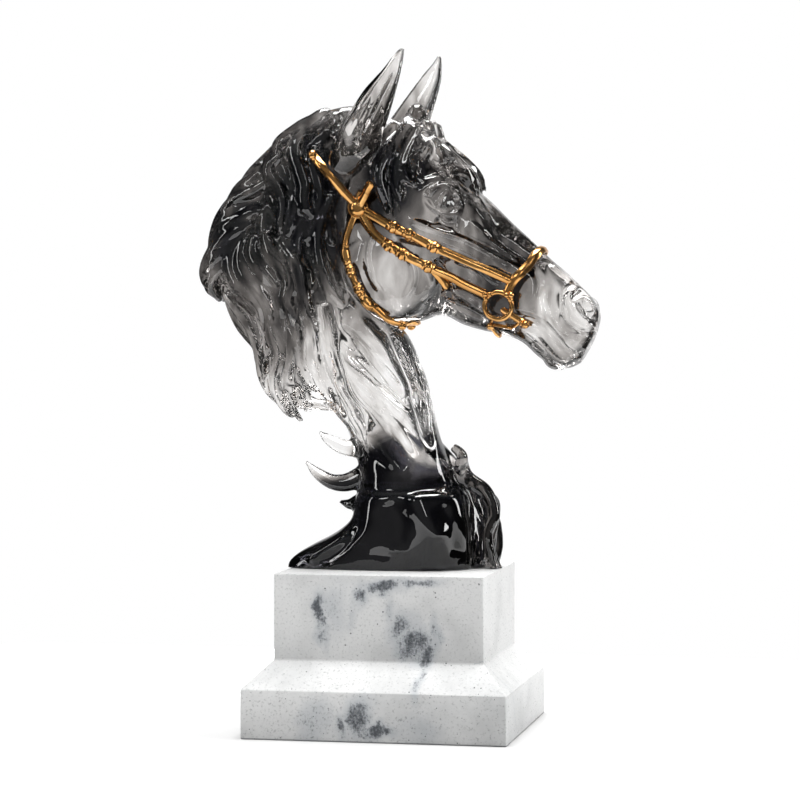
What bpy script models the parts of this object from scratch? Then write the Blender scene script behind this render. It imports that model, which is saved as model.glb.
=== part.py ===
"""Horse head figurine: a clear smoke-tinted resin bust with a gilt bridle, on a stepped stone-effect plinth.

Frame: metres, +Z up. The origin is the middle of the plinth's underside, the nose points to +X, and the
side of the horse that is carved in most detail faces -Y.
"""

import bisect
import itertools
import math

import bmesh
import bpy
from mathutils import Matrix, Vector
from mathutils.bvhtree import BVHTree

MM = 0.001

# Plinth: a slab, a sloping shoulder and a die that the bust stands on.
SLAB_LENGTH = 166 * MM
SLAB_DEPTH = 156 * MM
SLAB_HEIGHT = 30.6 * MM
SHOULDER_HEIGHT = 17 * MM
DIE_LENGTH = 132 * MM
DIE_DEPTH = 120 * MM
DIE_HEIGHT = 53.4 * MM
PLINTH_EDGE = 0.8 * MM
PLINTH_HEIGHT = SLAB_HEIGHT + SHOULDER_HEIGHT + DIE_HEIGHT

# Bust: its forms are drawn in millimetres on a bust this high, and follow BUST_HEIGHT as shares of it.
BUST_HEIGHT = 330 * MM
DRAWN_HEIGHT = 330.0
BUST_UNIT = BUST_HEIGHT / DRAWN_HEIGHT
SEAT_GAP = 0.3 * MM
FOOT_LEVEL = PLINTH_HEIGHT + SEAT_GAP
BUST_VOXEL = 1.7 * BUST_UNIT
SMOOTHING_ROUNDS = 4
BUST_KEPT_FACES = 0.038
RING_POINTS = 28
LOCK_RING_POINTS = 12
LOCK_STEPS = 5
BALL_RINGS = 12

# Bridle: straps of their own width and thickness, laid on the bust with a gap.
CHEEK_STRAP_WIDTH = 4.6 * MM
CROWN_STRAP_WIDTH = 4.6 * MM
THROATLATCH_WIDTH = 4.2 * MM
NOSEBAND_WIDTH = 5.0 * MM
CURB_WIDTH = 2.4 * MM
BIT_BAR_WIDTH = 3.6 * MM
STRAP_THICKNESS = 2.4 * MM
STRAP_GAP = 0.5 * MM
STATION_SPACING = 8.5 * MM
COLLAR_SWELL = 1.45
COLLAR_LENGTH = 2.4 * MM
BOSS_RADIUS = 6.0 * MM
BOSS_HEIGHT = 4.4 * MM
BALL_RADIUS = 3.0 * MM
CLASP_RADIUS = 2.5 * MM
BIT_RING_RADIUS = 8.6 * MM
BIT_RING_WIRE = 1.4 * MM


def at(u, v, w):
    """A point of the bust, drawn in millimetres from the middle of its foot, in the part's frame."""
    return Vector((u * BUST_UNIT, v * BUST_UNIT, FOOT_LEVEL + w * BUST_UNIT))


def material(name, colour, roughness, metallic=0.0, transmission=0.0):
    made = bpy.data.materials.new(name)
    made.use_nodes = True
    shader = made.node_tree.nodes["Principled BSDF"]
    shader.inputs["Base Color"].default_value = (*colour, 1.0)
    shader.inputs["Roughness"].default_value = roughness
    shader.inputs["Metallic"].default_value = metallic
    shader.inputs["Transmission Weight"].default_value = transmission
    made.diffuse_color = (*colour, 1.0)
    return made


def add_object(name, shape, collection):
    """An object made of a finished bmesh, with its faces pointing out."""
    bmesh.ops.recalc_face_normals(shape, faces=shape.faces)
    mesh = bpy.data.meshes.new(name)
    shape.to_mesh(mesh)
    shape.free()
    made = bpy.data.objects.new(name, mesh)
    collection.objects.link(made)
    return made


def as_cutter(guide):
    guide.hide_render = True
    guide.display_type = "WIRE"
    return guide


def loft(shape, rings):
    """Adds a closed solid through rings of equal point count to the bmesh, with flat ends."""
    rows = [[shape.verts.new(point) for point in ring] for ring in rings]
    for low, high in zip(rows, rows[1:]):
        for k in range(len(low)):
            after = (k + 1) % len(low)
            shape.faces.new((low[k], low[after], high[after], high[k]))
    shape.faces.new(tuple(reversed(rows[0])))
    shape.faces.new(rows[-1])


def catmull(a, b, c, d, t):
    """One value of a smooth curve from b to c, with a before and d after."""
    return 0.5 * (2 * b + (c - a) * t + (2 * a - 5 * b + 4 * c - d) * t**2 + (3 * b - a - 3 * c + d) * t**3)


def refine(rows, steps):
    """Rows of numbers, with a smooth curve through them and steps rows for each one."""
    last = len(rows) - 1
    fine = []
    for k in range(last):
        near = [rows[max(k - 1, 0)], rows[k], rows[k + 1], rows[min(k + 2, last)]]
        for step in range(steps):
            fine.append([catmull(*values, step / steps) for values in zip(*near)])
    fine.append(list(rows[last]))
    return fine


def power(value, exponent):
    return math.copysign(abs(value) ** exponent, value)


def section(top, bottom, half_width, swell, square):
    """A ring around the line from top to bottom: swell widens its top, square above 2 flattens its sides."""
    middle = (Vector(top) + Vector(bottom)) / 2
    rise = (Vector(top) - Vector(bottom)) / 2
    ring = []
    for k in range(RING_POINTS):
        angle = 2 * math.pi * k / RING_POINTS
        up = power(math.cos(angle), 2 / square)
        side = power(math.sin(angle), 2 / square) * half_width * (1 + swell * up)
        ring.append(at(middle.x + rise.x * up, side, middle.y + rise.y * up))
    return ring


def trunk(shape, rows, steps=3):
    """A solid through sections: (top u, top w, bottom u, bottom w, half width, swell, square) each."""
    fine = refine(rows, steps)
    loft(shape, [section((r[0], r[1]), (r[2], r[3]), r[4], r[5], r[6]) for r in fine])


def lock(shape, rows, facing):
    """A strand of hair: (u, v, w, half width, half thickness) each, its flat side towards facing."""
    fine = refine(rows, LOCK_STEPS)
    centres = [Vector(r[:3]) for r in fine]
    rings = []
    for k, row in enumerate(fine):
        along = (centres[min(k + 1, len(fine) - 1)] - centres[max(k - 1, 0)]).normalized()
        across = along.cross(Vector(facing)).normalized()
        out = across.cross(along).normalized()
        ring = []
        for n in range(LOCK_RING_POINTS):
            angle = 2 * math.pi * n / LOCK_RING_POINTS
            offset = across * math.cos(angle) * max(row[3], 0.4) + out * math.sin(angle) * max(row[4], 0.4)
            ring.append(at(*(centres[k] + offset)))
        rings.append(ring)
    loft(shape, rings)


def other_side(rows, spread=1.0):
    """The same strand on the far side of the neck."""
    return [(r[0], -r[1] * spread, *r[2:]) for r in rows]


def ball(shape, centre, radii, segments=RING_POINTS, rings=BALL_RINGS, turned=None):
    """Adds an ellipsoid to the bmesh, with its centre and radii in metres."""
    place = Matrix.LocRotScale(centre, turned, radii)
    bmesh.ops.create_uvsphere(shape, u_segments=segments, v_segments=rings, radius=1.0, matrix=place)


# The head, from behind the poll to the lips.
HEAD = [
    (-20, 280, -40, 214, 15, 0.0, 2.2),
    (2, 282, -33, 194, 23, 0.1, 2.2),
    (21, 276.5, -19, 171, 27, 0.15, 2.3),
    (36.5, 261.5, -1, 158, 28, 0.2, 2.4),
    (51, 243, 14, 156, 25.5, 0.22, 2.4),
    (61, 231, 29, 160, 22, 0.12, 2.3),
    (73, 219, 43, 154, 18.5, 0.02, 2.2),
    (85, 208, 57, 150, 16.5, 0.0, 2.2),
    (97, 196.5, 70, 147.5, 15.8, 0.0, 2.2),
    (108, 187, 81, 142.5, 16.5, 0.0, 2.3),
    (117, 178.5, 91, 133.5, 18, 0.05, 2.3),
    (125, 170, 101, 128, 18.5, 0.08, 2.3),
    (129.5, 160.5, 110, 126.5, 16, 0.05, 2.2),
    (127.5, 149.5, 117.5, 130, 10, 0.0, 2.0),
]

# The neck, from behind the poll to where it meets the foot block.
NECK = [
    (-42, 280, 0, 240, 16, 0.0, 2.1),
    (-69, 256, -22, 199, 19, 0.0, 2.1),
    (-81, 224, -26, 176, 21, 0.0, 2.1),
    (-84, 192, -4, 158, 22, 0.0, 2.1),
    (-76, 161, 7, 147, 21.5, 0.0, 2.1),
    (-63, 136, 13.5, 133, 20.5, 0.0, 2.1),
    (-49, 116, 19, 118.5, 19.5, 0.0, 2.1),
    (-37, 97, 23.5, 99, 19.5, 0.0, 2.1),
    (-29.5, 81, 28, 81, 20, 0.0, 2.1),
    (-25, 65, 34.5, 65, 23, 0.0, 2.2),
    (-24, 49, 41, 49, 27, 0.0, 2.4),
    (-24, 36, 44, 36, 28, 0.0, 2.5),
]

# The mass of hair that the locks of the mane lie on.
MANE = [
    (-46, 290, -30, 264, 11, 0.0, 2.0),
    (-72, 273, -50, 240, 14, 0.0, 2.0),
    (-94, 248, -60, 211, 16, 0.0, 2.0),
    (-108, 223, -63, 192, 17, 0.0, 2.0),
    (-117, 196, -57, 176, 17, 0.0, 2.0),
    (-110, 170, -47, 160, 16, 0.0, 2.0),
    (-99, 148, -40, 141, 13.5, 0.0, 2.0),
    (-89, 127, -39, 124, 10, 0.0, 2.0),
    (-81, 113, -42, 112, 5, 0.0, 2.0),
]

# The foot block: (back u, front u, near v, far v, w, square) each, its back swept out into a wing.
FOOT = [
    (-21, 42, -23.5, 25, 52, 2.6),
    (-24.5, 45.5, -29.5, 28, 47, 2.8),
    (-26, 47.5, -31, 30, 40, 2.9),
    (-28, 48.5, -31.5, 31, 31, 2.9),
    (-37, 49, -31.5, 31, 23, 2.8),
    (-50, 49, -31, 31, 16, 2.6),
    (-61, 49, -30, 31, 9.5, 2.4),
    (-67.5, 49, -29.5, 31, 3, 2.3),
    (-67.5, 49, -29, 31, -6, 2.3),
]
WING_TIP = -67.5
WING_SET_NEAR = 15.0
WING_NARROWING = 0.5

NEAR = (0, -1, 0)
FAR = (0, 1, 0)
BACK = (-0.75, -0.5, 0.45)
BREAST = (1, 0.3, 0)
FAR_SPREAD = 0.9

# Rolls of hair over the crest, which make the back of the outline.
CREST_LOCKS = [
    [
        (-16, -4, 286, 7, 6), (-33, -5, 288, 8, 7), (-50, -6, 284, 8, 7), (-67, -6, 274, 8, 7),
        (-82, -6, 260, 7, 6), (-91, -6, 248, 2, 2),
    ],
    [
        (-42, -8, 279, 7, 7), (-62, -9, 270, 8, 8), (-77, -10, 258, 8, 8), (-87, -11, 245, 7, 7),
        (-92, -11, 232, 3, 3),
    ],
    [
        (-66, -6, 262, 7, 7), (-84, -7, 256, 8, 8), (-97, -7, 243, 8, 8), (-104, -8, 229, 6, 6),
        (-106, -8, 216, 2, 2),
    ],
    [
        (-76, -8, 243, 8, 8), (-95, -9, 236, 9, 9), (-108, -9, 222, 9, 9), (-115, -9, 206, 8, 7),
        (-116, -8, 192, 3, 3),
    ],
    [
        (-86, -10, 222, 8, 8), (-103, -9, 212, 9, 9), (-117, -8, 196, 9, 9), (-121, -7, 183, 7, 7),
        (-114, -6, 169, 2, 2),
    ],
]

# Locks that fall over the near side of the neck behind the ear.
SIDE_LOCKS = [
    [
        (-34, -15, 284, 6, 5), (-52, -20, 278, 7, 6), (-66, -24, 266, 7, 6), (-76, -27, 250, 6, 6),
        (-74, -29, 236, 6, 5), (-66, -29, 220, 6, 5), (-65, -28, 206, 5, 4), (-65, -27, 194, 1.5, 1.5),
    ],
    [
        (-32, -18, 276, 6, 5), (-46, -23, 271, 7, 6), (-56, -27, 258, 6, 6), (-58, -29, 244, 6, 5),
        (-53, -29, 231, 5, 5), (-50, -28, 221, 2, 2),
    ],
    [
        (-34, -20, 262, 6, 5), (-45, -24, 252, 6, 5), (-47, -26, 238, 6, 5), (-42, -26, 222, 5, 4),
        (-38, -25, 205, 2, 2),
    ],
    [
        (-70, -20, 240, 7, 6), (-78, -24, 226, 7, 6), (-80, -25, 210, 7, 6), (-76, -26, 196, 5, 5),
        (-70, -26, 184, 2, 2),
    ],
]

# The long hanging locks of the mane.
LONG_LOCKS = [
    [
        (-88, -12, 214, 6, 6), (-99, -14, 194, 8, 7), (-104, -14, 176, 8, 7), (-98, -14, 157, 8, 7),
        (-90, -13, 141, 8, 6), (-86, -12, 124, 7, 5), (-78, -12, 110, 5, 4), (-62, -11, 92, 1, 1),
    ],
    [
        (-86, -18, 212, 6, 5), (-90, -21, 192, 7, 6), (-84, -23, 173, 8, 6), (-74, -24, 154, 8, 6),
        (-72, -23, 134, 7, 5), (-75, -20, 117, 5, 4), (-69, -18, 99, 1.5, 1.5),
    ],
    [
        (-80, -21, 209, 6, 5), (-77, -25, 190, 7, 6), (-65, -28, 176, 8, 6), (-58, -28, 157, 8, 6),
        (-62, -26, 136, 7, 5), (-63, -22, 117, 5, 4), (-58, -19, 98, 1.5, 1.5),
    ],
    [
        (-70, -22, 205, 6, 5), (-62, -27, 192, 7, 6), (-50, -29, 176, 7, 6), (-46, -29, 154, 7, 6),
        (-49, -26, 132, 6, 5), (-43, -22, 114, 4, 4), (-37, -19, 96, 1, 1),
    ],
    [
        (-62, -22, 200, 6, 5), (-46, -27, 184, 6, 5), (-36, -28, 160, 6, 5), (-33, -27, 138, 6, 5),
        (-36, -24, 118, 5, 4), (-34, -20, 100, 3, 3), (-28, -17, 84, 1, 1),
    ],
]

# Strands of hair that leave the foot of the neck at the back.
TUFTS = [
    [(-20, -8, 74, 6, 5), (-33, -8, 76, 5.5, 4), (-43, -8, 81, 4, 3), (-49.5, -8, 86, 1, 1)],
    [
        (-18, -10, 60, 7, 5), (-29, -11, 54, 6.5, 4.5), (-40, -11, 54, 5.5, 4), (-50, -11, 60, 4, 3),
        (-57, -11, 67, 1, 1),
    ],
    [(-18, -8, 44, 6, 5), (-28, -8, 40, 4.5, 4), (-36, -8, 42, 1, 1)],
]

# The forelock, over the brow and in front of the ear.
FORELOCKS = [
    [
        (5, -3, 284, 7, 5), (24, -4, 275.5, 7, 5), (39, -5, 262, 7, 5), (50, -5, 248.5, 6, 4.5),
        (54, -5, 237, 1.5, 1.5),
    ],
    [
        (4, -8, 281, 6, 5), (20, -13, 269, 7, 5), (33, -17, 257, 6, 5), (44, -17, 246, 5, 4),
        (52, -13, 233, 1.5, 1.5),
    ],
    [
        (4, -14, 279, 6, 5), (9, -20, 267, 6, 5), (8, -25, 256, 5, 4), (10, -28, 247, 4, 4),
        (18, -29, 241, 1.5, 1.5),
    ],
    [
        (0, -14, 281, 6, 5), (-5, -22, 270, 6, 5), (-6, -28, 256, 6, 5), (-5, -31, 241, 5, 4),
        (1, -30, 222, 1.5, 1.5),
    ],
]

# Folds of hair over the breast, on the far side of the foot block.
BREAST_LOCKS = [
    [
        (23, 4, 87, 5, 5), (32, 6, 75, 7, 8), (42, 8, 60, 8, 9), (47, 8, 40, 8, 9),
        (47, 6, 18, 8, 9), (46, 4, -6, 8, 9),
    ],
    [(32, 12, 71, 5, 6), (44, 15, 60, 7, 9), (54, 16, 44, 7, 9), (55, 16, 22, 7, 9), (50, 14, -6, 7, 9)],
    [(40, 22, 64, 5, 6), (52, 24, 50, 6, 8), (58, 24, 34, 6, 8), (58, 24, 14, 6, 8), (52, 20, -6, 6, 8)],
]

# The ears: (u, v, w, half width, half thickness) from the base to the tip. The far one is pricked forward.
NEAR_EAR = [
    (-35, -19, 250, 6, 6),
    (-30, -22, 262, 11.5, 7.5),
    (-20, -24, 278, 13, 7),
    (-9, -25, 295, 10.5, 5.5),
    (2, -25, 313, 6.5, 3.5),
    (8.5, -24.5, 325, 3, 2),
    (10.5, -24, 330, 1, 1),
]
FAR_EAR = [
    (-14, 16, 254, 6, 6),
    (-7, 19, 266, 11, 7.5),
    (1.5, 22, 280, 13, 6.5),
    (10, 24, 296, 10.5, 5),
    (17.5, 24, 311, 7, 3.5),
    (21.5, 24, 321, 3.5, 2),
    (22.5, 24, 327, 1, 1),
]
NEAR_EAR_FACING = (0.35, -0.9, 0.1)
FAR_EAR_FACING = (0.6, 0.75, 0.1)

# Rounded forms of the head: (centre, radii) each, mirrored where they lie off the middle.
CHEEK = ((1, -12, 190), (32.5, 15, 33.5))
BROW = ((30, -20, 236), (14, 8, 9))
EYEBALL = ((33, -22, 229.5), (7, 7.5, 6))
NOSTRIL_WING = ((119, -11, 163), (9, 8, 9.5))
CHIN = ((103, 0, 132), (9, 9, 6.5))

# The pit of each nostril, cut out, and how far its front end dips.
NOSTRIL = ((122, -20.5, 165), (7, 6, 3.6))
NOSTRIL_SLANT = 28
NOSTRIL_SEGMENTS = 14
NOSTRIL_RINGS = 8


def add_foot(shape):
    """The foot block, whose back narrows and leans to the near side as it sweeps out into the wing."""
    rings = []
    for back, front, near, far, w, square in refine(FOOT, 2):
        ring = []
        for k in range(RING_POINTS):
            angle = 2 * math.pi * k / RING_POINTS
            u = (back + front) / 2 + (front - back) / 2 * power(math.cos(angle), 2 / square)
            swept = max(0.0, u / WING_TIP) ** 2
            half_depth = (far - near) / 2 * (1 - WING_NARROWING * swept)
            v = (near + far) / 2 - WING_SET_NEAR * swept - half_depth * power(math.sin(angle), 2 / square)
            ring.append(at(u, v, w))
        rings.append(ring)
    loft(shape, rings)


def add_hair(shape):
    for rows in CREST_LOCKS:
        lock(shape, rows, BACK)
        lock(shape, other_side(rows), (BACK[0], -BACK[1], BACK[2]))
    for rows in SIDE_LOCKS + LONG_LOCKS + FORELOCKS:
        lock(shape, rows, NEAR)
        lock(shape, other_side(rows, FAR_SPREAD), FAR)
    for rows in TUFTS:
        lock(shape, rows, NEAR)
    for rows in BREAST_LOCKS:
        lock(shape, rows, BREAST)


def add_head_forms(shape):
    lock(shape, NEAR_EAR, NEAR_EAR_FACING)
    lock(shape, FAR_EAR, FAR_EAR_FACING)
    for (u, v, w), radii in (CHEEK, BROW, EYEBALL, NOSTRIL_WING, CHIN):
        for side in ((v, -v) if v else (v,)):
            ball(shape, at(u, side, w), Vector(radii) * BUST_UNIT)


def make_bust(parts, helpers):
    """One casting: every form overlaps its neighbours, and a remesh fuses them into one skin."""
    shape = bmesh.new()
    for rows in (HEAD, NECK, MANE):
        trunk(shape, rows)
    add_foot(shape)
    add_hair(shape)
    add_head_forms(shape)
    bust = add_object("horse_head", shape, parts)
    fuse = bust.modifiers.new("fuse", "REMESH")
    fuse.mode = "VOXEL"
    fuse.voxel_size = BUST_VOXEL
    soften = bust.modifiers.new("soften", "SMOOTH")
    soften.factor = 0.5
    soften.iterations = SMOOTHING_ROUNDS
    thin = bust.modifiers.new("thin", "DECIMATE")
    thin.ratio = BUST_KEPT_FACES
    reach = 2 * BUST_HEIGHT
    bpy.ops.mesh.primitive_cube_add(size=reach, location=(0, 0, FOOT_LEVEL - reach / 2))
    cut(bust, moved_to(bpy.context.object, "foot_cutter", helpers))
    (u, v, w), radii = NOSTRIL
    for name, side in (("nostril_near", v), ("nostril_far", -v)):
        pit = bmesh.new()
        slant = Matrix.Rotation(math.radians(NOSTRIL_SLANT), 3, "Y").to_quaternion()
        size = Vector(radii) * BUST_UNIT
        ball(pit, at(u, side, w), size, NOSTRIL_SEGMENTS, NOSTRIL_RINGS, turned=slant)
        cut(bust, add_object(name, pit, helpers))
    bust.data.materials.append(material("smoked_resin", (0.12, 0.12, 0.13), 0.04, transmission=0.9))
    return bust


def cut(body, cutter):
    carve = body.modifiers.new(cutter.name, "BOOLEAN")
    carve.operation = "DIFFERENCE"
    carve.solver = "EXACT"
    carve.object = as_cutter(cutter)


def moved_to(made, name, collection):
    """Names an object that a primitive operator made, and keeps it in one collection."""
    made.name = name
    for held in list(made.users_collection):
        held.objects.unlink(made)
    collection.objects.link(made)
    return made


def raised(shape, face, height, scale=(1.0, 1.0)):
    """Extrudes a level face upwards, with its length and depth scaled, and gives the new top."""
    top = bmesh.ops.extrude_discrete_faces(shape, faces=[face])["faces"][0]
    bmesh.ops.translate(shape, verts=top.verts, vec=(0, 0, height))
    bmesh.ops.scale(shape, verts=top.verts, vec=(*scale, 1.0))
    return top


def make_plinth(parts):
    shape = bmesh.new()
    slab = Matrix.LocRotScale((0, 0, SLAB_HEIGHT / 2), None, (SLAB_LENGTH, SLAB_DEPTH, SLAB_HEIGHT))
    bmesh.ops.create_cube(shape, size=1.0, matrix=slab)
    top = max(shape.faces, key=lambda face: face.calc_center_median().z)
    shoulder = raised(shape, top, SHOULDER_HEIGHT, (DIE_LENGTH / SLAB_LENGTH, DIE_DEPTH / SLAB_DEPTH))
    raised(shape, shoulder, DIE_HEIGHT)
    plinth = add_object("plinth", shape, parts)
    eased = plinth.modifiers.new("eased_edges", "BEVEL")
    eased.width = PLINTH_EDGE
    eased.segments = 2
    plinth.data.materials.append(material("stone_effect", (0.82, 0.82, 0.81), 0.5))


# The bridle's routes over the bust: (u, w, turn, collar) each. A ray comes in to (u, w) on the horse's
# middle plane from the near side, turned up by so many degrees: 0 is the near side, 180 the far one.
# A collar of 1 swells the strap there.
BOSS = (-20.2, 227.5)
CROWN_STRAP = [(*BOSS, 0, 0), (-30, 239, 0, 0), (-40, 251, 0, 0), (-48, 260.5, 0, 0)]
BROWBAND = [(*BOSS, 0, 0), (-16, 235, 0, 0), (-12, 242, 0, 0)]
UPPER_CHEEK_STRAP = [
    (*BOSS, 0, 0),
    (-8, 221, 0, 0),
    (3, 214.7, 0, 1),
    (13, 210, 0, 1),
    (29, 202.5, 0, 1),
    (53, 192, 0, 0),
    (76, 181, 0, 0),
]
LOWER_CHEEK_STRAP = [
    (*BOSS, 0, 0),
    (-11, 212.6, 0, 0),
    (0, 203.5, 0, 1),
    (9, 198, 0, 1),
    (25, 190, 0, 1),
    (37.5, 184.3, 0, 0),
    (48.5, 178.3, 0, 0),
    (61, 172.5, 0, 0),
]
CHEEK_TAB = [(27, 189.5, 0, 0), (32, 183.5, 0, 0), (36.5, 176.7, 0, 0)]
THROATLATCH = [
    (*BOSS, 0, 0),
    (-25, 219, 0, 0),
    (-29, 207, 0, 0),
    (-29, 198, 0, 1),
    (-25.5, 188, 0, 1),
    (-20, 176, 0, 1),
    (-14.5, 167.5, 0, 0),
    (-8, 163, 0, 0),
    (-1, 160, -10, 0),
    (6, 162, -30, 0),
    (11, 166, -60, 0),
    (12.5, 168, -90, 0),
]
NOSEBAND = [(73, 173, 0, 0), (77, 181, 0, 0), (80, 181, 25, 0), (81, 180, 55, 0), (82, 179, 90, 0)]
NOSEBAND_UP = (0.47, 0.0, 0.88)
CURB_STRAP = [(64, 159, -5, 0), (62, 163, -38, 0), (64, 166, -64, 0), (66, 167, -90, 0)]
CURB_BAR = [(62, 163, -38, 0), (68, 162.5, -38, 0), (75, 161, -36, 0), (81, 157, -5, 0)]
BIT_BAR = [(69.5, 163.7, 0, 0), (77, 159, 0, 0), (85, 154, 0, 0)]
BIT_RING = (67.8, 166.4)
CLASP_ANGLES = (39, 137)
DOME_LEVELS = (0.0, 0.45, 0.8, 0.98)
UPRIGHT = (0.0, 0.0, 1.0)
AIM_REACH = 55 * BUST_UNIT
THROAT_REACH = 20.5 * BUST_UNIT
LOOK_REACH = 12 * BUST_UNIT
TURN_RADIUS = 25.0
CLEARING_ROUNDS = 3
BRIDGED_LENGTH = 32.0
BRIDGED_TURN = 20.0
ROUTE_STEPS = 8
THROAT_BALL_ROW = -3
COLLAR_ROOM = 1.5
BOSS_SEGMENTS = 12
BEAD_SEGMENTS = 8
BEAD_RINGS = 6
RING_SEGMENTS = 16
WIRE_SEGMENTS = 6
LOOK_POINTS = 16

# Where a strap looks for the bust's highest point: shares of its width beside it, and of the way ahead.
LOOK_SIDES = (-0.75, -0.4, 0, 0.4, 0.75)
LOOK_AHEAD = (-1, -0.5, 0, 0.5, 1)
CHORD_SIDES = (-0.6, 0, 0.6)
CHORD_SHARES = (0.2, 0.4, 0.6, 0.8)

# A strap's section, as shares of its width and thickness: a flat back and bevelled front edges.
STRAP_SECTION = ((-0.5, -0.5), (0.5, -0.5), (0.32, 0.5), (-0.32, 0.5))


def across_to_far(rows):
    """A route that crosses over or under the middle plane, continued down the far side."""
    turn_there = math.copysign(180, rows[-1][2])
    return rows + [(u, w, turn_there - turn, collar) for u, w, turn, collar in reversed(rows[:-1])]


def on_far_side(rows):
    return [(u, w, 180 - turn, collar) for u, w, turn, collar in rows]


def aim(row, up):
    """Where a row of a route points on the middle plane, and the way out of the bust from there."""
    u, w, turn = row[:3]
    angle = math.radians(turn)
    return at(u, 0, w), Vector((0, -math.cos(angle), 0)) + Vector(up) * math.sin(angle)


def hit(surface, row, up=UPRIGHT, reach_below=AIM_REACH):
    """The point of the bust where a row's ray comes in, the way out there, and the bust's own facing."""
    target, out = aim(row, up)
    share = math.sin(math.radians(row[2])) ** 2
    reach = AIM_REACH + (reach_below - AIM_REACH) * share
    point, normal, _, _ = surface.ray_cast(target + out * reach, -out)
    return point, out, normal


def rise_above(surface, point, out, offsets):
    """How far the bust stands out past a point, as seen along out, at these offsets beside it."""
    highest = 0.0
    for offset in offsets:
        _, _, _, distance = surface.ray_cast(point + offset + out * LOOK_REACH, -out, 2 * LOOK_REACH)
        if distance is not None:
            highest = max(highest, LOOK_REACH - distance)
    return highest


def stations(route):
    """The rows that a strap is built through, evenly spaced and closer at each collar, and their places."""
    fine = refine([row[:3] for row in route], ROUTE_STEPS)
    travelled = [0.0]
    for before, after in zip(fine, fine[1:]):
        turned = math.radians(after[2] - before[2]) * TURN_RADIUS
        travelled.append(travelled[-1] + math.hypot(after[0] - before[0], after[1] - before[1], turned))
    total = travelled[-1]
    count = max(2, round(total * BUST_UNIT / STATION_SPACING))
    places = {total * k / count for k in range(count + 1)}
    collars = [travelled[k * ROUTE_STEPS] for k, row in enumerate(route) if row[3]]
    length = COLLAR_LENGTH / BUST_UNIT
    for collar in collars:
        places = {place for place in places if abs(place - collar) > COLLAR_ROOM * length}
        places |= {collar - length, collar, collar + length}
    rows = []
    for place in sorted(places):
        k = min(max(bisect.bisect(travelled, place) - 1, 0), len(fine) - 2)
        share = (place - travelled[k]) / (travelled[k + 1] - travelled[k])
        row = [before + (after - before) * share for before, after in zip(fine[k], fine[k + 1])]
        rows.append((*row, COLLAR_SWELL if place in collars else 1.0))
    return rows, sorted(places)


def bridged(places, turns, heights):
    """Heights raised so that a strap passes straight over any short hollow on one side of the bust."""
    raised_heights = list(heights)
    for first, last in itertools.combinations(range(len(places)), 2):
        length = places[last] - places[first]
        if length <= BRIDGED_LENGTH and abs(turns[last] - turns[first]) <= BRIDGED_TURN:
            for k in range(first + 1, last):
                share = (places[k] - places[first]) / length
                level = heights[first] + (heights[last] - heights[first]) * share
                raised_heights[k] = max(raised_heights[k], level)
    return raised_heights


def centre_line(aims, heights):
    lift = STRAP_GAP + STRAP_THICKNESS / 2
    return [target + out * (height + lift) for (target, out), height in zip(aims, heights)]


def cleared(surface, aims, facings, heights, width):
    """Heights raised until the straight stretches between two stations clear the bust as well."""
    heights = list(heights)
    for _ in range(CLEARING_ROUNDS):
        centres = centre_line(aims, heights)
        for k in range(len(centres) - 1):
            out = (facings[k] + facings[k + 1]).normalized()
            across = (centres[k + 1] - centres[k]).cross(out).normalized()
            back = centres[k] - out * (STRAP_GAP + STRAP_THICKNESS / 2)
            ahead = centres[k + 1] - centres[k]
            offsets = [
                ahead * share + across * width * side
                for share in CHORD_SHARES
                for side in CHORD_SIDES
            ]
            lack = rise_above(surface, back, out, offsets)
            heights[k] += lack
            heights[k + 1] += lack
    return heights


def neighbours(values, k, reach=1):
    return values[max(k - reach, 0) : k + reach + 1]


def strap(surface, route, width, up=UPRIGHT, reach_below=AIM_REACH):
    """A closed solid that follows the route on the bust, a gap away from it."""
    rows, places = stations(route)
    hits = [hit(surface, row, up, reach_below) for row in rows]
    aims = [aim(row, up) for row in rows]
    heights = []
    facings = []
    for k, (point, out, normal) in enumerate(hits):
        facing = sum((near[2] for near in neighbours(hits, k, 2)), out * 2).normalized()
        beside = neighbours([near[0] for near in hits], k)
        along = (beside[-1] - beside[0]).normalized()
        across = along.cross(facing).normalized()
        offsets = [
            across * width * side + along * 0.5 * STATION_SPACING * ahead
            for side in LOOK_SIDES
            for ahead in LOOK_AHEAD
        ]
        heights.append((point - aims[k][0]).length + rise_above(surface, point, out, offsets))
        facings.append(facing)
    heights = bridged(places, [row[2] for row in rows], heights)
    centres = centre_line(aims, cleared(surface, aims, facings, heights, width))
    rings = []
    for k, facing in enumerate(facings):
        beside = neighbours(centres, k)
        along = (beside[-1] - beside[0]).normalized()
        across = along.cross(facing).normalized()
        out = across.cross(along).normalized()
        swell = rows[k][3]
        ring = []
        for side, lift in STRAP_SECTION:
            thickness = STRAP_THICKNESS * (2 * swell - 1 if lift > 0 else 1)
            ring.append(centres[k] + across * side * width * swell + out * lift * thickness)
        rings.append(ring)
    shape = bmesh.new()
    loft(shape, rings)
    return shape


def circle(axis_a, axis_b, radius, count):
    return [
        (axis_a * math.cos(2 * math.pi * k / count) + axis_b * math.sin(2 * math.pi * k / count)) * radius
        for k in range(count)
    ]


def plane_axes(out):
    """Two directions along the bust where it faces out: ahead to the nose, and up."""
    ahead = (Vector((1, 0, 0)) - out * out.x).normalized()
    upward = Vector((0, 0, 1)) - out * out.z
    upward = (upward - ahead * upward.dot(ahead)).normalized()
    return ahead, upward


def dome(point, out, radius, height):
    """A low dome with a flat back."""
    ahead, upward = plane_axes(out)
    rings = []
    for level in DOME_LEVELS:
        middle = point + out * height * level
        rim = circle(ahead, upward, radius * math.sqrt(1 - level**2), BOSS_SEGMENTS)
        rings.append([middle + offset for offset in rim])
    shape = bmesh.new()
    loft(shape, rings)
    return shape


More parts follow.
